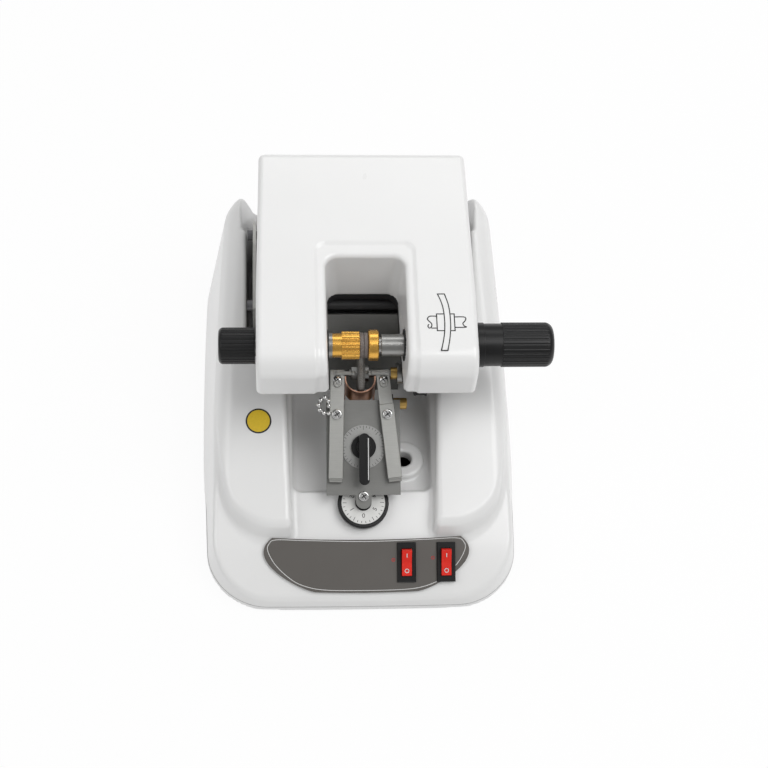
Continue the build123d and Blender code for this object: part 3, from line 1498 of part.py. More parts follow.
nodes = {
    "base_shell": make_base_shell(),
    "base_plate": make_base_plate(),
    "base_plate_screws": make_plate_screws(),
    "rubber_feet": make_feet(),
    "panel_label": make_label(),
    "switch_bodies": make_switch_bodies(),
    "left_rocker": make_rocker(left_switch_x),
    "right_rocker": make_rocker(right_switch_x),
    "mains_inlet": [make_inlet()] + make_inlet_screws(),
    "fuse_holder": make_fuse(),
    "transformer": make_transformer(),
    "circuit_board": make_circuit_board(),
    "left_hinge_bracket": make_hinge_bracket(-1),
    "right_hinge_bracket": make_hinge_bracket(1),
    "bracket_bolts": make_bracket_screws() + make_rest_bolts(),
    "head_pivot_bolts": make_pivot_bolts(),
    "head_rest_bar": make_rest_bar(),
    "splash_guard": make_splash_guard(),
    "wheel_motor": make_wheel_motor(),
    "motor_plate": make_motor_plate(),
    "motor_shaft": [make_motor_shaft(), make_motor_pulley()],
    "drive_belt": make_drive_belt(),
    "bearing_block": make_bearing_block(),
    "wheel_bush": make_wheel_bush(),
    "wheel_shaft": [make_wheel_shaft(), make_wheel_nut()],
    "grooving_wheel": make_grooving_wheel(),
    "wheel_pulley": make_wheel_pulley(),
    "wheel_guard": make_wheel_guard(),
    "stage_bracket": make_stage_bracket(),
    "stage_pin": make_stage_pin(),
    "stage_plate": make_stage_plate(),
    "stage_screws": make_arm_posts() + make_arm_pivot_screws() + [make_lever_pin(), make_tab_screw()],
    "position_scale": make_position_scale(),
    "selector_lever": make_lever(),
    "left_arm": [make_left_arm(), make_finger(-1), make_tip_screw(-1)],
    "right_arm": [make_right_arm(), make_right_arm_tip(), make_finger(1), make_tip_screw(1)],
    "bead_chain": make_bead_chain(),
    "depth_dial": make_dial(),
    "dial_face": make_dial_face(),
    "depth_stem": make_stem(),
    "dial_bush": make_dial_bush(),
    "head_cover": make_head_cover(),
    "head_tub": [make_head_tub()] + make_cover_screws(),
    "head_frame": make_head_frame(),
    "head_bushes": [make_notch_bush(-1), make_notch_bush(1)] + make_side_bushes(),
    "left_spindle": [make_left_spindle(), make_pulley(left_belt_x, lens_y, lens_z, spindle_r)],
    "left_chuck": make_left_chuck(),
    "left_pad": make_pad(lens_plane_x - pad_t, lens_plane_x),
    "left_knob": make_left_knob(),
    "right_drive_pulley": make_right_drive_pulley(),
    "right_spindle": make_right_spindle(),
    "right_disc": make_right_disc(),
    "right_pad": make_pad(lens_plane_x, lens_plane_x + pad_t),
    "right_knob": make_right_knob(),
    "clamp_spring": make_clamp_spring(),
    "head_belts": [make_head_belt(left_belt_x), make_head_belt(right_belt_x)],
    "layshaft": make_layshaft(),
    "layshaft_wheels": [
        make_pulley(left_belt_x, layshaft_y, layshaft_z, layshaft_r),
        make_pulley(right_belt_x, layshaft_y, layshaft_z, layshaft_r),
        make_lay_gear(),
    ],
    "motor_pinion": make_motor_pinion(),
    "lens_motor": [make_lens_motor(), make_lens_motor_clamp()],
}

os.makedirs("parts", exist_ok=True)
to_row = Pos(-shift_x, -shift_y, 0)
for name, shape in nodes.items():
    pieces = shape if isinstance(shape, list) else [shape]
    solids = [to_row * solid for piece in pieces for solid in piece.solids()]
    export_step(Compound(label=name, children=solids), f"parts/{name}.step")
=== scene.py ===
import json
import math

import bpy
import numpy as np
from mathutils import Matrix, Vector


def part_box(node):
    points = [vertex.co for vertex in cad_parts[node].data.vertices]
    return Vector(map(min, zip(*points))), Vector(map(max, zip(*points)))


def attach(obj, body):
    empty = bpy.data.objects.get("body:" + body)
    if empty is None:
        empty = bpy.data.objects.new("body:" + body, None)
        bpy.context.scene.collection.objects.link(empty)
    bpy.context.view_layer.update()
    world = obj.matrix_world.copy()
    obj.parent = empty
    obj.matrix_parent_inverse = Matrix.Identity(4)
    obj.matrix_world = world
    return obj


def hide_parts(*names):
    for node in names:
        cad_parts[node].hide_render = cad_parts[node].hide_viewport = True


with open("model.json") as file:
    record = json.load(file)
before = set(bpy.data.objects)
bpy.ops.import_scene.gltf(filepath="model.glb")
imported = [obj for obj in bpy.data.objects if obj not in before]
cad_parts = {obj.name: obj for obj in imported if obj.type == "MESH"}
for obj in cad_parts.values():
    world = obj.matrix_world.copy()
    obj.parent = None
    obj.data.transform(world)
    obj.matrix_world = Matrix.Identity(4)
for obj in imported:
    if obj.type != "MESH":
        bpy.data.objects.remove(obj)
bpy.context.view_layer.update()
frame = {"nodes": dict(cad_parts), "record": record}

# Everything below is in millimetres from the middle of the base's front lip, as the machine
# is built: X right, Y back, Z up. to_row turns such places into the frame's metres.
shell_low, shell_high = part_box("base_shell")
base_middle_x = (shell_low.x + shell_high.x) * 500
base_front_y = shell_low.y * 1000

# Base shell
base_depth = (shell_high.y - shell_low.y) * 1000
base_half = (shell_high.x - shell_low.x) * 500
base_front_half = 88.2
base_rear_half = 90.6
base_front_bow = 1.0
base_bottom, bottom_round = 1.2, 1.2
base_draft = math.tan(math.radians(9.5))
rear_share = math.tan(math.radians(4)) / base_draft
skin_depth = 4.4
front_corner = 34.0
rear_corner, least_corner = 28.0, 4.0
lip_height = 13.0
lip_round, panel_round, shelf_round = 2.6, 6.0, 8.0
panel_y, panel_z, panel_slope = 3.5, 15.5, 27.0
shelf_y, shelf_slope = 34.0, 15.0
deck_y, deck_z, deck_slope = 37.0, 42.0, 15.0
deck_foot_y = deck_y - 4.0
tray_foot = panel_z + (deck_foot_y - panel_y) * math.tan(math.radians(panel_slope))
deck_half = 78.0
deck_corner = 24.0
deck_lean = math.tan(math.radians(15))
deck_spread = 24.0 / 85.0
shoulder, deck_round = 9.0, 3.4
channel_front_half, channel_rear_half, channel_end = 39.3, 43.6, 118.0
well_y, well_half, well_corner = 59.0, 40.0, 5.0
well_into_bay, well_fillet = 8.0, 2.0
floor_z, floor_round = 32.0, 3.0
bay_y, bay_rear, bay_half = 132.0, 217.0, 66.3
bay_corner, bay_front_round = 10.0, 6.0
saddle_z, saddle_half, saddle_lean = 62.0, 61.0, math.tan(math.radians(17))
saddle_round, saddle_fillet = 6.0, 3.0
opening_round = 2.2
drain_x, drain_y, drain_r, drain_hole, drain_height = 24.3, 80.0, 12.0, 4.8, 4.0
drain_rim, drain_fillet, drain_hole_rim, drain_reach = 2.0, 1.5, 1.4, 12.0

# Openings in the base
dial_bush_r, dial_bush_depth = 4.0, 10.0
switch_x, switch_v = (24.4, 47.0), 18.2
switch_half_width, switch_half_height, switch_reach = 4.7, 10.1, 15.0
inlet_x, inlet_z, inlet_half_width, inlet_half_height = -34.0, 17.0, 13.8, 10.6
fuse_x, fuse_hole = 12.0, 5.4
rear_reach = 12.0

# Head cover
head_half, head_rear_half, head_taper_y = 60.0, 58.5, 129.0
head_front, head_rear = 84.0, 222.0
head_top, head_angle = 134.5, 3.5
head_slope = math.tan(math.radians(head_angle))
head_front_round, head_rear_round, head_edge_round = 13.0, 6.0, 3.2
head_skin_depth = 3.4
split_front, split_slope, split_round = 105.0, math.tan(math.radians(6)), 0.5
notch_half, notch_y, notch_corner, notch_rim = 22.5, 153.5, 7.0, 2.6
notch_lean, notch_top = math.tan(math.radians(3)), 144.5
recess_side, recess_rear, recess_corner = 4.8, 7.8, 6.0
recess_depth, recess_soft = 1.2, 3.0
lens_y, lens_z = 109.0, 115.0
bush_hole, bush_reach = 9.0, 8.0
knob_hole = 5.5
pivot_y, pivot_z, pivot_hole = 200.0, 90.0, 3.6
side_hole_x = 40.0

# Grids that the two skins are made on: their step, the room round the form and their height
base_step, base_room, base_room_below, base_ceiling = 1.5, 4.0, 2.2, 98.0
head_step, head_room, head_ground, head_ceiling = 1.2, 3.0, 90.0, 146.0

# Stage and dial. A screw is the body it rides on, its x, its v up the stage and where its
# head starts above the stage.
stage_y, stage_z, stage_slope = 51.0, 47.0, 28.0
dial_y, dial_z, dial_slope = 49.6, 40.2, 15.0
lever_v, lever_top_w, scale_t = 27.3, 11.2, 0.6
cap_r, cap_height = 2.6, 1.3
upper_screws = [("left_arm", -14.6, 65.4, 5.05), ("right_arm", 11.3, 65.4, 4.55)]
lower_screws = [("stage", -15.1, 45.8, 6.85), ("stage", 13.5, 45.8, 6.85), ("stage", 0.0, -0.6, 1.75)]

# Camera, as solved from the photograph
camera_place = (-49.0, -361.3, 887.0)
camera_height = math.radians(60)
camera_side = 0.065
camera_roll = math.radians(0.3)
camera_focal = 77.34

# Light, in metres and watts
lamp_target = (0, 0, 0.05)
world_strength = 0.40
floor_tone, floor_glow, floor_reach = 0.92, 0.93, 6.0


def to_row(points):
    """Machine millimetres to the frame's metres."""
    shift = np.array((base_middle_x, base_front_y, 0.0))
    return (np.asarray(points, float) + shift) / 1000


# Shader building

class Signal:
    """A socket whose value changes over a surface. Arithmetic on it adds Math nodes."""

    def __init__(self, finish, socket):
        self.finish = finish
        self.socket = socket

    def math(self, operation, *values):
        return self.finish.add("ShaderNodeMath", {"operation": operation}, dict(enumerate(values)))

    def __add__(self, other):
        return self.math("ADD", self, other)

    def __sub__(self, other):
        return self.math("SUBTRACT", self, other)

    def __rsub__(self, other):
        return self.math("SUBTRACT", other, self)

    def __mul__(self, other):
        return self.math("MULTIPLY", self, other)

    __radd__ = __add__
    __rmul__ = __mul__

    def above(self, edge, soft):
        """0 below the edge, 1 above it, with a soft step."""
        settings = {"interpolation_type": "SMOOTHSTEP"}
        values = {"Value": self, "From Min": edge - soft, "From Max": edge + soft}
        return self.finish.add("ShaderNodeMapRange", settings, values)


class Finish:
    """One material, built from nodes."""

    def __init__(self, name, **shader):
        self.material = bpy.data.materials.new(name)
        self.material.use_nodes = True
        self.tree = self.material.node_tree
        self.shader = self.tree.nodes["Principled BSDF"]
        for socket, value in shader.items():
            self.feed(self.shader.inputs[socket.replace("_", " ")], value)

    def feed(self, socket, value):
        """Links a Signal to the socket, or sets a constant on it."""
        if isinstance(value, Signal):
            self.tree.links.new(value.socket, socket)
        elif hasattr(value, "__len__") and socket.type == "RGBA" and len(value) == 3:
            socket.default_value = (*value, 1.0)
        else:
            socket.default_value = value

    def add(self, kind, settings, values, output=0):
        """Any node: its type, its settings, then the values or links of its sockets."""
        node = self.tree.nodes.new(kind)
        for name, value in settings.items():
            setattr(node, name, value)
        for socket, value in values.items():
            self.feed(node.inputs[socket], value)
        return Signal(self, node.outputs[output])

    def place(self, scale=(1, 1, 1)):
        """Where the shaded point is on its piece, in millimetres times scale."""
        point = self.add("ShaderNodeTexCoord", {}, {}, "Object")
        stretch = tuple(1000 * s for s in scale)
        return self.add("ShaderNodeVectorMath", {"operation": "MULTIPLY"}, {0: point, 1: stretch})

    def noise(self, size, detail=3.0, scale=(1, 1, 1), rough=0.5):
        """Cloudy noise whose largest features are about size millimetres."""
        values = {"Vector": self.place(scale), "Scale": 1 / size, "Detail": detail, "Roughness": rough}
        return self.add("ShaderNodeTexNoise", {}, values)

    def blend(self, share, first, second):
        """A colour between the first, at share 0, and the second, at 1."""
        settings = {"data_type": "RGBA"}
        return self.add("ShaderNodeMix", settings, {0: share, 6: first, 7: second}, 2)

    def bump(self, height, depth_mm, soften_mm=0.0):
        """A normal from a height, over edges softened by a small radius."""
        values = {"Height": height, "Distance": depth_mm / 1000, "Strength": 1.0}
        if soften_mm:
            values["Normal"] = self.add("ShaderNodeBevel", {"samples": 4}, {"Radius": soften_mm / 1000})
        return self.add("ShaderNodeBump", {}, values)

    def edge_wear(self, radius_mm):
        """Near 1 on outer edges: the mask for highlights painted along them."""
        bevel = self.add("ShaderNodeBevel", {"samples": 4}, {"Radius": radius_mm / 1000})
        plain = self.add("ShaderNodeNewGeometry", {}, {}, "Normal")
        match = self.add("ShaderNodeVectorMath", {"operation": "DOT_PRODUCT"}, {0: bevel, 1: plain}, "Value")
        return (1 - match).above(0.06, 0.05)

    def set(self, **values):
        """Feeds the shader's named inputs and gives the finished material."""
        for socket, value in values.items():
            self.feed(self.shader.inputs[socket.replace("_", " ")], value)
        return self.material


def white_plastic():
    """Glossy white moulded shell with a faint orange peel and handling haze."""
    f = Finish("white_plastic", IOR=1.5, Coat_Roughness=0.12)
    haze = f.noise(38.0, 4.0)
    speck = f.noise(0.9, 2.0).above(0.74, 0.04)
    colour = f.blend(haze, (0.80, 0.80, 0.795), (0.835, 0.835, 0.83))
    colour = f.blend(speck * 0.12, colour, (0.62, 0.61, 0.58))
    peel = f.noise(2.4, 2.0)
    return f.set(
        Base_Color=colour,
        Roughness=haze * 0.12 + 0.24,
        Coat_Weight=0.25,
        Normal=f.bump(peel, 0.02),
    )


def moulded_plastic(name, colour, roughness, grain_mm, depth_mm):
    """Matt moulded plastic with a spark-eroded grain and paler edges painted as highlights."""
    f = Finish(name, Specular_IOR_Level=0.3)
    cloud = f.noise(14.0, 3.0)
    grain = f.noise(grain_mm, 3.0)
    lighter = tuple(min(1.0, c * 1.8 + 0.02) for c in colour)
    tone = f.blend(cloud, tuple(c * 0.85 for c in colour), tuple(c * 1.2 for c in colour))
    # Edges painted paler, as highlights where they catch the light.
    tone = f.blend(f.edge_wear(0.35) * 0.45, tone, lighter)
    return f.set(
        Base_Color=tone,
        Roughness=cloud * 0.12 + (roughness - 0.06),
        Normal=f.bump(grain, depth_mm, 0.3),
    )


def brushed_metal(name, colour, roughness, along):
    """Sheet metal with fine scratches along one direction and dull finger marks."""
    f = Finish(name, Metallic=1.0)
    squeeze = tuple(0.04 if axis == along else 1.0 for axis in "xyz")
    lines = f.noise(0.35, 4.0, squeeze, 0.65)
    marks = f.noise(9.0, 3.0)
    dark = tuple(c * 0.72 for c in colour)
    tone = f.blend(lines, dark, colour)
    tone = f.blend(marks.above(0.62, 0.1) * 0.3, tone, tuple(c * 0.8 for c in colour))
    return f.set(
        Base_Color=tone,
        Roughness=lines * 0.16 + marks * 0.14 + (roughness - 0.14),
        Normal=f.bump(lines, 0.012, 0.25),
    )


def bright_metal(name, colour, roughness):
    """Plated or turned metal: bright, with a soft mottle and small scratches."""
    f = Finish(name, Metallic=1.0)
    mottle = f.noise(3.0, 3.0)
    scratch = f.noise(0.5, 2.0, (1, 0.15, 1)).above(0.66, 0.04)
    tone = f.blend(mottle, tuple(c * 0.82 for c in colour), colour)
    return f.set(
        Base_Color=tone,
        Roughness=mottle * 0.12 + scratch * 0.07 + (roughness - 0.06),
        Normal=f.bump(mottle, 0.004, 0.2),
    )


def black_rubber():
    """Matt black rubber with a fine grain."""
    f = Finish("black_rubber")
    cloud = f.noise(4.0, 3.0)
    grain = f.noise(0.35, 3.0)
    return f.set(
        Base_Color=f.blend(cloud, (0.012, 0.012, 0.012), (0.03, 0.03, 0.03)),
        Roughness=cloud * 0.15 + 0.62,
        Normal=f.bump(grain, 0.03, 0.3),
    )


def pad_rubber():
    """Grey-brown rubber of the lens pads, dusted with lens swarf."""
    f = Finish("pad_rubber")
    cloud = f.noise(2.5, 3.0)
    dust = f.noise(0.6, 3.0).above(0.6, 0.08)
    tone = f.blend(cloud, (0.10, 0.082, 0.075), (0.16, 0.135, 0.125))
    return f.set(
        Base_Color=f.blend(dust * 0.35, tone, (0.4, 0.38, 0.35)),
        Roughness=cloud * 0.15 + 0.45,
        Normal=f.bump(dust, 0.02, 0.3),
    )


def panel_sheet():
    """Printed sheet in warm grey with a satin face."""
    f = Finish("panel_sheet")
    cloud = f.noise(22.0, 3.0)
    grain = f.noise(0.25, 2.0)
    return f.set(
        Base_Color=f.blend(cloud, (0.098, 0.09, 0.082), (0.112, 0.104, 0.095)),
        Roughness=grain * 0.1 + 0.38,
        Normal=f.bump(grain, 0.006),
    )


def red_rocker():
    """Glossy red plastic, a little translucent."""
    f = Finish("red_rocker", Subsurface_Weight=0.15, Subsurface_Radius=(0.004, 0.001, 0.001), IOR=1.5)
    cloud = f.noise(5.0, 2.0)
    return f.set(
        Base_Color=f.blend(cloud, (0.68, 0.012, 0.008), (0.8, 0.03, 0.012)),
        Roughness=cloud * 0.08 + 0.2,
        Normal=f.bump(f.noise(1.5, 2.0), 0.01, 0.25),
    )


def dial_enamel():
    """White face of the dial, a little uneven in tone and sheen."""
    f = Finish("dial_enamel")
    cloud = f.noise(4.0, 4.0)
    tone = f.blend(cloud, (0.62, 0.62, 0.60), (0.78, 0.78, 0.76))
    return f.set(Base_Color=tone, Roughness=cloud * 0.2 + 0.28, Normal=f.bump(cloud, 0.01))


def grit_disc():
    """Diamond-coated wheel: dull grey metal full of fine grit."""
    f = Finish("grit_disc", Metallic=0.6)
    grit = f.noise(0.3, 4.0, rough=0.7)
    cloud = f.noise(5.0, 2.0)
    tone = f.blend(grit.above(0.52, 0.1), (0.12, 0.115, 0.11), (0.42, 0.41, 0.39))
    return f.set(
        Base_Color=f.blend(cloud * 0.3, tone, (0.3, 0.27, 0.24)),
        Roughness=grit * 0.3 + 0.35,
        Normal=f.bump(grit, 0.05),
    )


def circuit_lacquer():
    """Green lacquer over faintly raised tracks."""
    f = Finish("circuit_lacquer", IOR=1.5)
    tracks = f.add("ShaderNodeTexBrick", {}, {"Vector": f.place(), "Scale": 0.25}, "Fac")
    cloud = f.noise(6.0, 2.0)
    tone = f.blend(cloud, (0.012, 0.10, 0.035), (0.02, 0.16, 0.06))
    tone = f.blend(tracks * 0.4, tone, (0.05, 0.24, 0.1))
    return f.set(Base_Color=tone, Roughness=cloud * 0.1 + 0.3, Normal=f.bump(tracks, 0.03))


def print_ink(name, colour):
    """Thin printed ink with a slightly uneven tone and sheen."""
    f = Finish(name)
    patch = f.noise(1.2, 3.0)
    return f.set(
        Base_Color=f.blend(patch, tuple(c * 0.8 for c in colour), colour),
        Roughness=patch * 0.15 + 0.4,
        Normal=f.bump(patch, 0.004),
    )


finishes = {
    "shell_white": white_plastic(),
    "dark_plastic": moulded_plastic("dark_plastic", (0.022, 0.022, 0.023), 0.5, 0.6, 0.025),
    "black_knob": moulded_plastic("black_knob", (0.008, 0.008, 0.0085), 0.33, 0.5, 0.015),
    "rubber_black": black_rubber(),
    "pad_grey": pad_rubber(),
    "steel_sheet": brushed_metal("steel_sheet", (0.46, 0.46, 0.44), 0.42, "x"),
    "steel_bar": bright_metal("steel_bar", (0.34, 0.34, 0.33), 0.3),
    "screw_steel": bright_metal("screw_steel", (0.78, 0.78, 0.77), 0.16),
    "gold_metal": bright_metal("gold_metal", (0.85, 0.47, 0.1), 0.27),
    "brass_metal": bright_metal("brass_metal", (0.7, 0.46, 0.15), 0.34),
    "copper_strip": bright_metal("copper_strip", (0.62, 0.36, 0.26), 0.3),
    "panel_grey": panel_sheet(),
    "rocker_red": red_rocker(),
    "dial_white": dial_enamel(),
    "board_green": circuit_lacquer(),
    "motor_metal": brushed_metal("motor_metal", (0.2, 0.2, 0.21), 0.5, "y"),
    "grit_wheel": grit_disc(),
}
# The black ink prints the marks and also paints the shade in the screw heads' cross recesses.
black_ink_and_shade = print_ink("black_ink_and_shade", (0.014, 0.014, 0.014))
# The white ink prints the pale marks and also paints the highlight along the lever's right edge.
white_ink_and_highlight = print_ink("white_ink_and_highlight", (0.75, 0.75, 0.74))
red_ink = print_ink("red_ink", (0.5, 0.02, 0.02))
yellow_ink = print_ink("yellow_ink", (0.8, 0.55, 0.02))
# Painted shadow of the seam groove round the base, drawn with the ink shader.
groove_shade = print_ink("groove_shade", (0.5, 0.5, 0.5))
dull_steel = brushed_metal("dull_steel", (0.27, 0.27, 0.26), 0.5, "x")
own_finish = {
    "stage_plate": dull_steel,
    "stage_bracket": dull_steel,
    "splash_guard": dull_steel,
    "position_scale": brushed_metal("scale_steel", (0.42, 0.42, 0.41), 0.36, "y"),
    "bead_chain": finishes["screw_steel"],
}

slot_of = {s["node"]: s["material_slot"] for s in frame["record"]["subparts"]}
for node_name, node_object in frame["nodes"].items():
    finish = own_finish.get(node_name, finishes[slot_of[node_name]])
    if not node_object.material_slots:
        node_object.data.materials.append(finish)
    for material_slot in node_object.material_slots:
        material_slot.link = "OBJECT"
        material_slot.material = finish


# Meshes

def new_piece(name, points, faces, material, body, normals=None):
    """A mesh piece from machine millimetres, riding on a body."""
    mesh = bpy.data.meshes.new(name)
    mesh.from_pydata(to_row(points).tolist(), [], [tuple(map(int, f)) for f in faces])
    mesh.materials.append(material)
    mesh.update()
    if normals is not None:
        mesh.polygons.foreach_set("use_smooth", np.ones(len(mesh.polygons), bool))
        mesh.normals_split_custom_set_from_vertices(normals.tolist())
    piece = bpy.data.objects.new(name, mesh)
    bpy.context.scene.collection.objects.link(piece)
    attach(piece, body)
    return piece


def corner(a, b, radius):
    """Inside both forms, with their shared edge rounded."""
    both = np.maximum(a + radius, b + radius)
    away = np.hypot(np.maximum(a + radius, 0), np.maximum(b + radius, 0))
    return np.minimum(both, 0) + away - radius


def join(a, b, radius):
    """Either form, with a fillet where they meet."""
    return -corner(-a, -b, radius)


def carve(a, b, radius):
    """The first form less the second, with a rounded rim."""
    return corner(a, -b, radius)


def cell_beside(edge, u, v, du, dv):
    """One of the four grid cells round each edge, du and dv steps back along the axes u and v."""
    cell = edge.copy()
    cell[:, u] -= du
    cell[:, v] -= dv
    return cell


def surface_net(form, low, high, step):
    """Vertices and quads of the surface where form is zero, on a regular grid.

    Each grid edge that crosses the surface gives one quad, between the four cells round the edge.
    Each such cell has one vertex, at the mean of the crossings on its edges. Grid edges on the
    grid's own faces have fewer cells round them and are left out.
    """
    axes = [np.arange(low[k], high[k] + step, step) for k in range(3)]
    field = form(*np.meshgrid(*axes, indexing="ij"))
    inside = field < 0
    shape = np.array(field.shape)
    total = np.zeros((*(shape - 1), 3))
    count = np.zeros(shape - 1)
    crossings = []
    for axis in range(3):
        a, b = np.delete(field, -1, axis), np.delete(field, 0, axis)
        cross = (a < 0) != (b < 0)
        at = np.argwhere(cross)
        share = a[cross] / (a[cross] - b[cross])
        place = at.astype(float)
        place[:, axis] += share
        u, v = [k for k in range(3) if k != axis]
        within = (at[:, u] > 0) & (at[:, v] > 0) & (at[:, u] < shape[u] - 1) & (at[:, v] < shape[v] - 1)
        at, place = at[within], place[within]
        for du in (0, 1):
            for dv in (0, 1):
                cell = cell_beside(at, u, v, du, dv)
                np.add.at(total, tuple(cell.T), place)
                np.add.at(count, tuple(cell.T), 1)
        crossings.append((axis, u, v, at, inside[tuple(at.T)]))
    used = count > 0
    index = np.full(count.shape, -1)
    index[used] = np.arange(used.sum())
    points = total[used] / count[used][:, None] * step + np.array(low)
    quads = []
    for axis, u, v, at, start_inside in crossings:
        ring = []
        for du, dv in ((1, 1), (0, 1), (0, 0), (1, 0)):
            ring.append(index[tuple(cell_beside(at, u, v, du, dv).T)])
        quad = np.stack(ring, 1)
        turned = start_inside if axis != 1 else ~start_inside
        quad[~turned] = quad[~turned][:, ::-1]
        quads.append(quad)
    return points, np.concatenate(quads)


def grid_step(step):
    return step


def slope_of(form, points, reach=0.04):
    """Gradient of form at points."""
    parts = []
    for k in range(3):
        step = np.zeros(3)
        step[k] = reach
        parts.append((form(*(points + step).T) - form(*(points - step).T)) / (2 * reach))
    return np.stack(parts, 1)


def form_piece(name, form, low, high, step, material, body):
    """A smooth skin over form, its points moved onto the exact surface."""
    points, quads = surface_net(form, low, high, step)
    for _ in range(4):
        slope = slope_of(form, points)
        size = np.maximum((slope ** 2).sum(1), 0.2)
        off = form(*points.T)
        moved = points + np.clip(-off[:, None] * slope / size[:, None], -step / 2, step / 2)
        nearer = np.abs(form(*moved.T)) < np.abs(off)
        points = np.where(nearer[:, None], moved, points)
    slope = slope_of(form, points)
    normals = slope / np.maximum(np.linalg.norm(slope, axis=1), 1e-6)[:, None]
    return new_piece(name, points, quads, material, body, normals)


# Base shell

def side_half(y):
    """Half width of the base at the table, bowed a little along its length."""
    t = y / base_depth
    middle = base_half - (base_front_half + base_rear_half) / 2
    return base_front_half + (base_rear_half - base_front_half) * t + 4 * middle * t * (1 - t)


def base_outline(x, y, inset):
    """Distance outside the base's rounded plan, drawn in by inset and less behind."""
    side = np.abs(x) - side_half(y) + inset
    front = base_front_bow * (x / base_front_half) ** 2 - y + inset
    rear = y - base_depth + inset * rear_share
    half = corner(side, front, front_corner - inset)
    return np.maximum(half, corner(side, rear, np.maximum(rear_corner - inset, least_corner)))


def slope_form(y, z, y0, z0, angle):
    """Distance above a plane that rises to the back."""
    a = math.radians(angle)
    return (z - z0) * math.cos(a) - (y - y0) * math.sin(a)


def tray_form(y, z):
    """Lip, panel and shelf in front of and between the decks."""
    lip_angle = math.degrees(math.atan2(panel_z - lip_height, panel_y))
    shelf_z = panel_z + (shelf_y - panel_y) * math.tan(math.radians(panel_slope))
    lip = slope_form(y, z, 0, lip_height, lip_angle)
    panel = slope_form(y, z, panel_y, panel_z, panel_slope)
    shelf = slope_form(y, z, shelf_y, shelf_z, shelf_slope)
    return corner(corner(lip, panel, panel_round), shelf, shelf_round)


def deck_form(x, y, z):
    """The raised decks with their leaning front step and the channel between them."""
    lean = (z - tray_foot) * deck_lean
    front = deck_foot_y + lean - y
    side = (np.abs(x) - deck_half + lean - deck_spread * (y - deck_y)) / math.hypot(1, deck_spread)
    plan = corner(side, front, deck_corner)
    top = slope_form(y, z, deck_y, deck_z, deck_slope)
    deck = corner(plan, top, deck_round)
    spread = (channel_rear_half - channel_front_half) / channel_end
    channel = np.abs(x) - channel_front_half - spread * np.minimum(y, channel_end)
    return carve(deck, channel, deck_round)


def pocket_form(x, y, z):
    """The deep well, the bay under the head and the saddle behind it."""
    side = np.abs(x)
    well_plan = corner(side - well_half, well_y - y, well_corner)
    well_plan = np.maximum(well_plan, y - bay_y - well_into_bay)
    well = corner(well_plan, floor_z - z, floor_round)
    bay_plan = corner(side - bay_half, y - bay_rear, bay_corner)
    bay_plan = corner(bay_plan, bay_y - y, bay_front_round)
    bay = corner(bay_plan, floor_z - z, floor_round)
    leaning = (side - saddle_half - (z - saddle_z) * saddle_lean) / math.hypot(1, saddle_lean)
    saddle = corner(leaning, saddle_z - z, saddle_round)
    saddle = np.maximum(saddle, bay_rear - bay_corner - y)
    return join(join(well, bay, well_fillet), saddle, saddle_fillet)


def base_outer(x, y, z):
    """Outer form of the base: its drafted hull under the tray and the decks, less the pockets."""
    inset = (z - base_bottom) * base_draft
    hull = base_outline(x, y, inset)
    tray = corner(hull, tray_form(y, z), lip_round)
    decks = corner(hull, deck_form(x, y, z), shoulder)
    body = join(tray, decks, deck_round)
    return carve(body, pocket_form(x, y, z), opening_round)


def across_slope(y, z, y0, z0, slope):
    """Distances up and off a sloping plane through (y0, z0)."""
    a = math.radians(slope)
    up = (y - y0) * math.cos(a) + (z - z0) * math.sin(a)
    return up, slope_form(y, z, y0, z0, slope)


def dial_hole(x, y, z):
    """Opening for the bush under the dial."""
    up, off = across_slope(y, z, dial_y, dial_z, dial_slope)
    return np.maximum(np.hypot(x, up) - dial_bush_r, np.abs(off + dial_bush_depth / 2) - dial_bush_depth / 2)


def switch_holes(x, y, z):
    """Openings for the two switches in the panel."""
    up, off = across_slope(y, z, panel_y, panel_z, panel_slope)
    low, high = np.abs(x - switch_x[0]), np.abs(x - switch_x[1])
    hole = np.maximum(np.minimum(low, high) - switch_half_width, np.abs(up - switch_v) - switch_half_height)
    return np.maximum(hole, np.abs(off) - switch_reach)


def rear_holes(x, y, z):
    """Openings for the mains inlet and the fuse in the rear wall."""
    inlet = np.maximum(np.abs(x - inlet_x) - inlet_half_width, np.abs(z - inlet_z) - inlet_half_height)
    fuse = np.hypot(x - fuse_x, z - inlet_z) - fuse_hole
    return np.maximum(np.minimum(inlet, fuse), base_depth - rear_reach - y)


def base_form(x, y, z):
    """The base as a shell, open below, with its drain and all its openings."""
    outer = base_outer(x, y, z)
    shell = np.maximum(outer, -(outer + skin_depth))
    away = np.hypot(x - drain_x, y - drain_y)
    drain = corner(away - drain_r, z - floor_z - drain_height, drain_rim)
    drain = np.maximum(drain, floor_z - skin_depth - z)
    shell = join(shell, drain, drain_fillet)
    hole = np.maximum(away - drain_hole, z - floor_z - drain_reach)
    shell = carve(shell, hole, drain_hole_rim)
    for opening in (dial_hole(x, y, z), switch_holes(x, y, z), rear_holes(x, y, z)):
        shell = np.maximum(shell, -opening)
    return corner(shell, base_bottom - z, bottom_round)


def make_base_skin():
    """The base shell's skin, shown in place of the solid."""
    low = (-base_half - base_room, -base_room, base_bottom - base_room_below)
    high = (base_half + base_room, base_depth + base_room, base_ceiling)
    step, white = grid_step(base_step), finishes["shell_white"]
    skin = form_piece("base_shell_skin", base_form, low, high, step, white, "base")
    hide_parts("base_shell")


# Head cover

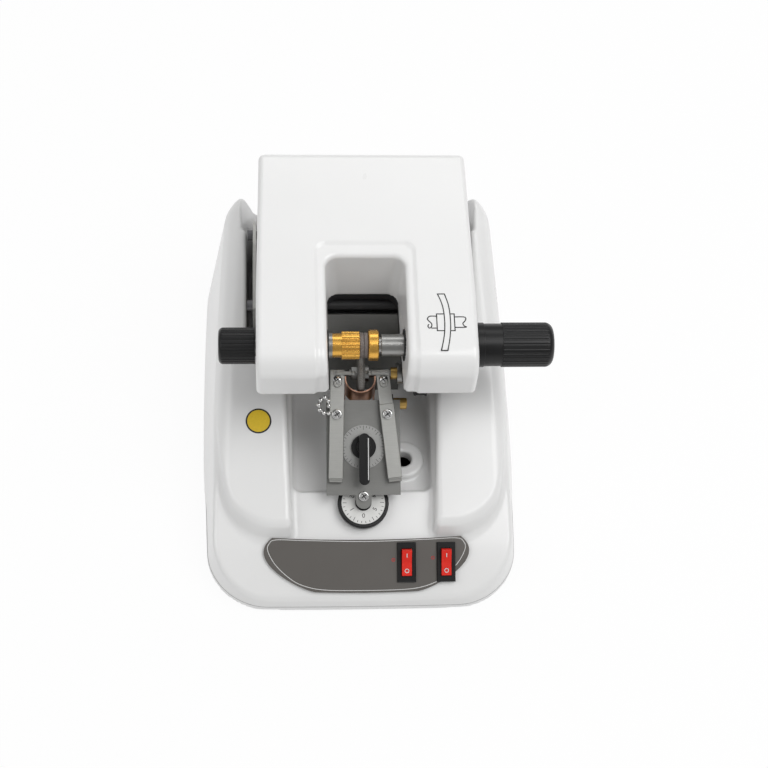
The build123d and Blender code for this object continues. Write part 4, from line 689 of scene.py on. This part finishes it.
def head_outer(x, y, z):
    """Outer form of the head with its notch and the shallow recess around it."""
    top = ((z - head_top) - (y - head_front - head_front_round) * head_slope) / math.hypot(1, head_slope)
    form = corner(head_front - y, top, head_front_round)
    form = corner(form, y - head_rear, head_rear_round)
    taper = np.clip((y - head_taper_y) / (head_rear - head_taper_y), 0, 1)
    side = np.abs(x) - head_half + (head_half - head_rear_half) * taper
    form = corner(form, side, head_edge_round)
    half = notch_half - (notch_top - z) * notch_lean
    notch = corner(np.abs(x) - half, y - notch_y, notch_corner)
    rim = np.abs(x) - notch_half - recess_side
    band = corner(rim, y - notch_y - recess_rear, recess_corner)
    share = np.clip(0.5 - band / recess_soft, 0, 1)
    form = form + recess_depth * share * share * (3 - 2 * share)
    return carve(form, notch, notch_rim)


def head_form(x, y, z):
    """The head's cover: a thin shell, open below, with holes for bushes, spindles and pivots."""
    outer = head_outer(x, y, z)
    shell = np.maximum(outer, -(outer + head_skin_depth))
    split = split_front - (y - head_front) * split_slope - z
    shell = corner(shell, split, split_round)
    across = np.hypot(y - lens_y, z - lens_z)
    bush = np.maximum(across - bush_hole, np.abs(x) - notch_half - bush_reach)
    knob = np.maximum(across - knob_hole, side_hole_x - np.abs(x))
    pivot = np.maximum(np.hypot(y - pivot_y, z - pivot_z) - pivot_hole, side_hole_x - np.abs(x))
    for hole in (bush, knob, pivot):
        shell = np.maximum(shell, -hole)
    return shell


def make_head_skin():
    """The head cover's skin, shown in place of the solid."""
    low = (-head_half - head_room, head_front - head_room, head_ground)
    high = (head_half + head_room, head_rear + head_room, head_ceiling)
    step, white = grid_step(head_step), finishes["shell_white"]
    skin = form_piece("head_cover_skin", head_form, low, high, step, white, "head")
    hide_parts("head_cover")


# Printed marks and thin trim

class Face:
    """A flat place on the machine: x is X, v runs up the slope, w stands off it."""

    def __init__(self, y, z, slope):
        a = math.radians(slope)
        self.origin = np.array((0.0, y, z))
        self.axes = np.array(((1, 0, 0), (0, math.cos(a), math.sin(a)), (0, -math.sin(a), math.cos(a))))

    def at(self, points, w):
        """Machine places of (x, v) points that stand w off the face."""
        flat = np.asarray(points, float)
        full = np.column_stack((flat, np.full(len(flat), w)))
        return self.origin + full @ self.axes


panel_face = Face(panel_y, panel_z, panel_slope)
stage_face = Face(stage_y, stage_z, stage_slope)
dial_face = Face(dial_y, dial_z, dial_slope)
head_face = Face(0, head_top - (head_front + head_front_round) * head_slope, head_angle)
deck_face = Face(deck_y, deck_z, deck_slope)


def arc(cx, cy, radius, start, stop, count):
    """Points round a circle, angles in degrees."""
    turn = np.radians(np.linspace(start, stop, count))
    return np.column_stack((cx + radius * np.cos(turn), cy + radius * np.sin(turn)))


def ribbon(points, width, closed):
    """Left and right edges of a drawn line."""
    points = np.asarray(points, float)
    if closed:
        ahead, behind = np.roll(points, -1, 0), np.roll(points, 1, 0)
    else:
        ahead = np.vstack((points[1:], 2 * points[-1] - points[-2]))
        behind = np.vstack((2 * points[0] - points[1], points[:-1]))
    first = (points - behind) / np.linalg.norm(points - behind, axis=1)[:, None]
    second = (ahead - points) / np.linalg.norm(ahead - points, axis=1)[:, None]
    along = first + second
    along /= np.linalg.norm(along, axis=1)[:, None]
    across = np.column_stack((-along[:, 1], along[:, 0]))
    stretch = 1 / np.maximum((along * first).sum(1), 0.5)
    offset = across * (width / 2 * stretch)[:, None]
    return points + offset, points - offset


def drawing(name, face, lines, material, body, w, thick):
    """Printed lines on a face, as thin raised strips. A line is (points, width, closed)."""
    points = []
    faces = []
    for stroke, width, closed in lines:
        left, right = ribbon(stroke, width, closed)
        n = len(left)
        start = len(points)
        for edge, height in ((left, w + thick), (right, w + thick), (right, w), (left, w)):
            points.extend(face.at(edge, height))
        last = n if closed else n - 1
        for i in range(last):
            j = (i + 1) % n
            for side in range(4):
                a, b = start + side * n, start + (side + 1) % 4 * n
                faces.append((a + i, b + i, b + j, a + j))
        if not closed:
            for i in (0, n - 1):
                loop = [start + side * n + i for side in range(4)]
                faces.append(loop if i else loop[::-1])
    return new_piece(name, points, faces, material, body)


def plate(name, face, outline, material, body, w, thick):
    """A thin flat patch with the given outline."""
    outline = np.asarray(outline, float)
    n = len(outline)
    points = np.vstack((face.at(outline, w + thick), face.at(outline, w)))
    faces = [tuple(range(n)), tuple(range(2 * n - 1, n - 1, -1))]
    faces += [(i + n, (i + 1) % n + n, (i + 1) % n, i) for i in range(n)]
    return new_piece(name, points, faces, material, body)


def line(x0, y0, x1, y1, width):
    """A straight stroke for a drawing."""
    return ([(x0, y0), (x1, y1)], width, False)


def smooth(points, closed, count=6):
    """A soft curve through the points, with count steps between each two."""
    points = np.asarray(points, float)
    if closed:
        padded = np.vstack((points[-1:], points, points[:2]))
    else:
        padded = np.vstack((points[:1], points, points[-1:]))
    curve = []
    for a, b, c, d in zip(padded, padded[1:], padded[2:], padded[3:]):
        for t in np.arange(count) / count:
            bend = (2 * a - 5 * b + 4 * c - d) * t ** 2 + (3 * b - a - 3 * c + d) * t ** 3
            curve.append(b + ((c - a) * t + bend) / 2)
    if not closed:
        curve.append(points[-1])
    return np.array(curve)


def tick_ring(centre_v, count, long_r, short_r, outer_r, width):
    """Strokes round a circle, with every fifth one longer."""
    ticks = []
    for i in range(count):
        turn = math.radians(i * 360 / count)
        inner_r = short_r if i % 5 else long_r
        c, s = math.cos(turn), math.sin(turn)
        ticks.append(line(inner_r * c, centre_v + inner_r * s, outer_r * c, centre_v + outer_r * s, width))
    return ticks


def make_pictogram():
    """A lens held between two blocks on shafts, drawn in thin black lines."""
    pen = 0.6
    outer = [(42.5, 128.7), (44.2, 122.5), (44.9, 116.3), (44.9, 108.0), (44.1, 101.0), (42.7, 94.0)]
    inner = [(39.2, 94.0), (40.9, 101.5), (41.7, 108.0), (41.7, 116.3), (40.7, 123.0), (38.7, 128.7)]
    left_block = [(41.6, 116.3), (37.6, 116.3), (37.6, 106.0), (41.6, 106.0)]
    right_block = [(44.9, 116.3), (47.2, 116.3), (47.2, 106.0), (44.9, 106.0)]
    left_shaft = [(37.6, 114.9), (34.0, 114.9), (32.6, 113.6), (32.9, 112.4), (34.6, 110.4), (34.6, 108.6)]
    left_shaft += [(33.4, 107.6), (32.6, 108.8), (33.2, 110.0)]
    left_under = [(34.4, 107.6), (37.6, 107.6)]
    right_shaft = [(47.2, 114.4), (52.4, 114.4), (53.4, 113.2), (52.6, 111.6), (51.6, 110.4), (52.4, 108.8)]
    right_shaft += [(53.4, 108.4), (52.6, 108.0), (47.2, 108.0)]
    lens = [(np.vstack((smooth(outer, False), smooth(inner, False))), pen, True)]
    rest = [(p, pen, False) for p in (left_block, right_block, left_under)]
    rest += [(smooth(p, False), pen, False) for p in (left_shaft, right_shaft)]
    drawing("lens_diagram", head_face, lens + rest, black_ink_and_shade, "head", w=0.02, thick=0.05)


def make_colour_dot():
    """Plain yellow dot with a dark rim on the left deck."""
    x, v = -59.4, (93.8 - deck_y) / math.cos(math.radians(deck_slope))
    dot_r, rim_r, rim_width = 6.6, 6.9, 0.9
    dot = arc(x, v, dot_r, 0, 352.5, 48)
    plate("deck_dot", deck_face, dot, yellow_ink, "base", w=0.02, thick=0.1)
    rim = [(arc(x, v, rim_r, 0, 352.5, 48), rim_width, True)]
    drawing("deck_dot_rim", deck_face, rim, black_ink_and_shade, "base", w=0.02, thick=0.14)


def make_panel_trim():
    """A fine pale line just inside the label's edge, and one red mark beside each switch."""
    line_half, line_rise, label_x, label_v, label_top = 57.2, 14.7, 1.8, 17.0, 0.4
    shape = [(-0.9, 1.0), (-0.6, 0.96), (0.0, 0.9), (0.6, 0.96), (0.9, 1.0), (0.97, 0.85), (0.985, 0.6)]
    shape += [(0.93, 0.15), (0.84, -0.25), (0.72, -0.62), (0.6, -0.82), (0.45, -0.94), (0.2, -0.985)]
    shape += [(-0.2, -0.985), (-0.45, -0.94), (-0.6, -0.82), (-0.72, -0.62), (-0.84, -0.25)]
    shape += [(-0.93, 0.15), (-0.985, 0.6), (-0.97, 0.85)]
    edge = [(label_x + x * line_half, label_v + y * line_rise) for x, y in shape[::-1]]
    border = [(smooth(edge, True), 0.35, True)]
    drawing("label_line", panel_face, border, white_ink_and_highlight, "base", w=label_top, thick=0.05)
    marks = [(arc(x, v, 0.8, 0, 330, 12), 0.4, True) for x, v in ((16.9, 19.6), (39.5, 20.6))]
    drawing("label_marks", panel_face, marks, red_ink, "base", w=label_top, thick=0.05)


def make_dial_marks():
    """Ticks round the dial and one number at each longer tick."""
    number_r, number_size, number_t = 7.6, 3.6, 0.03
    ticks = tick_ring(0, 30, 9.6, 10.6, 11.8, 0.28)
    drawing("dial_ticks", dial_face, ticks, black_ink_and_shade, "dial", w=0.1, thick=0.05)
    for i in range(6):
        turn = math.radians(-90 - i * 60)
        place = dial_face.at([(number_r * math.cos(turn), number_r * math.sin(turn))], 0.12)[0]
        words = bpy.data.curves.new(f"dial_number_{i}", "FONT")
        words.body = str(i)
        words.size = number_size / 1000
        words.align_x = words.align_y = "CENTER"
        words.extrude = number_t / 1000
        words.resolution_u = 3
        words.materials.append(black_ink_and_shade)
        number = bpy.data.objects.new(f"dial_number_{i}", words)
        bpy.context.scene.collection.objects.link(number)
        turned = Matrix.Rotation(turn + math.pi / 2, 4, "Z")
        lie = Matrix.Rotation(math.radians(dial_slope), 4, "X")
        number.matrix_world = Matrix.Translation(Vector(to_row(place))) @ lie @ turned
        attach(number, "dial")


def make_scale_marks():
    """Fine ticks round the bright scale under the lever."""
    ticks = tick_ring(lever_v, 40, 9.8, 10.9, 12.1, 0.22)
    drawing("scale_ticks", stage_face, ticks, black_ink_and_shade, "stage", w=scale_t, thick=0.04)


def make_seam():
    """Thin shadow line round the base, just above its lower edge.

    Rays from the base's middle are walked along until they meet its outline.
    """
    z, rays = 5.0, 360
    inset = (z - base_bottom) * base_draft
    turn = np.linspace(0, 2 * math.pi, rays, endpoint=False)
    away = np.full(rays, 60.0)
    for _ in range(60):
        x, y = away * np.cos(turn), base_depth / 2 + away * np.sin(turn)
        away = away - base_outline(x, y, inset) * 0.9
    ring = np.column_stack((away * np.cos(turn), base_depth / 2 + away * np.sin(turn)))
    seam = [(ring, 0.3, True)]
    drawing("base_seam", Face(0, 0, 0), seam, groove_shade, "base", w=z, thick=0.35)


def make_screw_caps():
    """Bright domed heads on the arms' upper screws."""
    rings = [(cap_r, 0.0), (cap_r, 0.3), (cap_r * 0.92, 0.75), (cap_r * 0.7, 1.1)]
    rings.append((cap_r * 0.35, cap_height))
    count = 28
    for body, x, v, w in upper_screws:
        points = []
        for radius, height in rings:
            points.extend(stage_face.at(arc(x, v, radius, 0, 360 - 360 / count, count), w + height))
        faces = [tuple(range(count - 1, -1, -1)), tuple(range(len(points) - count, len(points)))]
        for row in range(len(rings) - 1):
            for i in range(count):
                j = (i + 1) % count
                low, high = row * count, (row + 1) * count
                faces.append((low + i, low + j, high + j, high + i))
        cap = new_piece(f"{body}_cap", points, faces, finishes["screw_steel"], body)
        for polygon in cap.data.polygons:
            polygon.use_smooth = len(polygon.vertices) == 4


def make_screw_crosses():
    """A dark cross on the head of each screw on the stage and the arms: the painted shade of its cross
    recess.
    """
    long, short = cap_r * 0.55, cap_r * 0.55 * 0.7
    sink = 0.05
    capped = [(body, x, v, w + cap_height) for body, x, v, w in upper_screws]
    for body, x, v, w in capped + lower_screws:
        cross = [line(x - long, v - short, x + long, v + short, 0.5)]
        cross.append(line(x - short, v + long, x + short, v - long, 0.5))
        name = f"{body}_cross_{round(x * 10)}"
        drawing(name, stage_face, cross, black_ink_and_shade, body, w=w - sink, thick=0.09)


def make_lever_line():
    """Pale line painted along the lever's right edge as a highlight."""
    x, tip_v, end_v = 2.2, lever_v - 18.5, lever_v + 5.0
    # Painted highlight: a white stroke standing in for light on the blade's edge.
    mark = [line(x, tip_v, x, end_v, 0.5)]
    drawing("lever_highlight", stage_face, mark, white_ink_and_highlight, "lever", w=lever_top_w, thick=0.04)


def make_rocker_marks():
    """The I and the O moulded in each rocker."""
    rocker_w, rocker_tilt, mark_w = 2.0, 10.0, 2.35
    _, y, z = panel_face.at([(0, switch_v)], rocker_w)[0]
    face = Face(y, z, panel_slope + rocker_tilt)
    for body, x in zip(("left_rocker", "right_rocker"), switch_x):
        bar = [line(x, 3.4, x, 5.6, 0.45)]
        drawing(f"{body}_bar", face, bar, white_ink_and_highlight, body, w=mark_w, thick=0.15)
        ring = [(arc(x, -4.4, 1.1, 0, 330, 16), 0.4, True)]
        drawing(f"{body}_ring", face, ring, white_ink_and_highlight, body, w=mark_w, thick=0.15)


# Surroundings

def make_floor():
    """Pale floor: white to the camera, with the object's soft shadow left on it."""
    f = Finish("floor_white", Roughness=0.9, Specular_IOR_Level=0.2)
    f.set(Base_Color=(floor_tone, floor_tone, floor_tone))
    path = "ShaderNodeLightPath"
    seen = f.add(path, {}, {}, "Is Camera Ray") + f.add(path, {}, {}, "Is Glossy Ray")
    seen = seen + f.add(path, {}, {}, "Is Transmission Ray")
    glow = f.add("ShaderNodeEmission", {}, {"Color": (1, 1, 1), "Strength": 1.0})
    lit = Signal(f, f.shader.outputs[0])
    mixed = f.add("ShaderNodeMixShader", {}, {0: seen * floor_glow, 1: lit, 2: glow})
    output = next(n for n in f.tree.nodes if n.type == "OUTPUT_MATERIAL")
    f.feed(output.inputs["Surface"], mixed)
    mesh = bpy.data.meshes.new("floor")
    r = floor_reach
    corners = [(-r, -r, 0), (r, -r, 0), (r, r, 0), (-r, r, 0)]
    mesh.from_pydata(corners, [], [(0, 1, 2, 3)])
    mesh.materials.append(f.material)
    floor = bpy.data.objects.new("floor", mesh)
    bpy.context.scene.collection.objects.link(floor)


def make_world():
    """Plain white surroundings, dimmer as a light than as they are seen."""
    world = bpy.data.worlds.new("studio")
    bpy.context.scene.world = world
    world.use_nodes = True
    nodes, links = world.node_tree.nodes, world.node_tree.links
    path = nodes.new("ShaderNodeLightPath")
    seen = nodes.new("ShaderNodeMath")
    seen.operation = "MAXIMUM"
    links.new(path.outputs["Is Camera Ray"], seen.inputs[0])
    links.new(path.outputs["Is Transmission Ray"], seen.inputs[1])
    level = nodes.new("ShaderNodeMapRange")
    level.inputs["To Min"].default_value = world_strength
    level.inputs["To Max"].default_value = 1.0
    links.new(seen.outputs[0], level.inputs["Value"])
    links.new(level.outputs[0], nodes["Background"].inputs["Strength"])
    nodes["Background"].inputs["Color"].default_value = (1, 1, 1, 1)


def make_lamp(name, place, size, power):
    """A square or oblong lamp that shines at the machine."""
    light = bpy.data.lights.new(name, "AREA")
    light.shape = "RECTANGLE"
    light.size, light.size_y = size
    light.energy = power
    lamp = bpy.data.objects.new(name, light)
    bpy.context.scene.collection.objects.link(lamp)
    lamp.location = place
    lamp.rotation_euler = (Vector(lamp_target) - Vector(place)).to_track_quat("-Z", "Y").to_euler()


def make_camera():
    """The camera, turned by its height, its side step and its roll."""
    away = math.sqrt(1 - camera_side ** 2)
    back = Vector((-camera_side, -math.cos(camera_height) * away, math.sin(camera_height) * away))
    right = (Vector((1, 0, 0)) - back.x * back).normalized()
    up = back.cross(right)
    c, s = math.cos(camera_roll), math.sin(camera_roll)
    rolled_right = c * right - s * up
    rolled_up = s * right + c * up
    turn = Matrix((rolled_right, rolled_up, back)).transposed().to_4x4()
    data = bpy.data.cameras.new("camera")
    data.lens = camera_focal
    data.sensor_width = 36.0
    camera = bpy.data.objects.new("camera", data)
    bpy.context.scene.collection.objects.link(camera)
    camera.matrix_world = Matrix.Translation(Vector(to_row(camera_place))) @ turn
    bpy.context.scene.camera = camera


make_base_skin()
make_head_skin()
make_pictogram()
make_colour_dot()
make_panel_trim()
make_dial_marks()
make_scale_marks()
make_seam()
make_lever_line()
make_screw_caps()
make_screw_crosses()
make_rocker_marks()
make_floor()
make_world()
make_lamp("key", (0.6, -0.2, 1.3), (0.9, 0.9), 9.6)
make_lamp("fill", (-0.9, -0.3, 1.0), (0.8, 0.8), 3.2)
make_lamp("back", (0.1, 0.9, 1.1), (1.0, 0.5), 3.0)
make_camera()
bpy.context.scene.view_settings.view_transform = "Standard"


def plain(bounds):
    """Two corners as plain lists."""
    return [list(map(float, corner_point)) for corner_point in bounds]
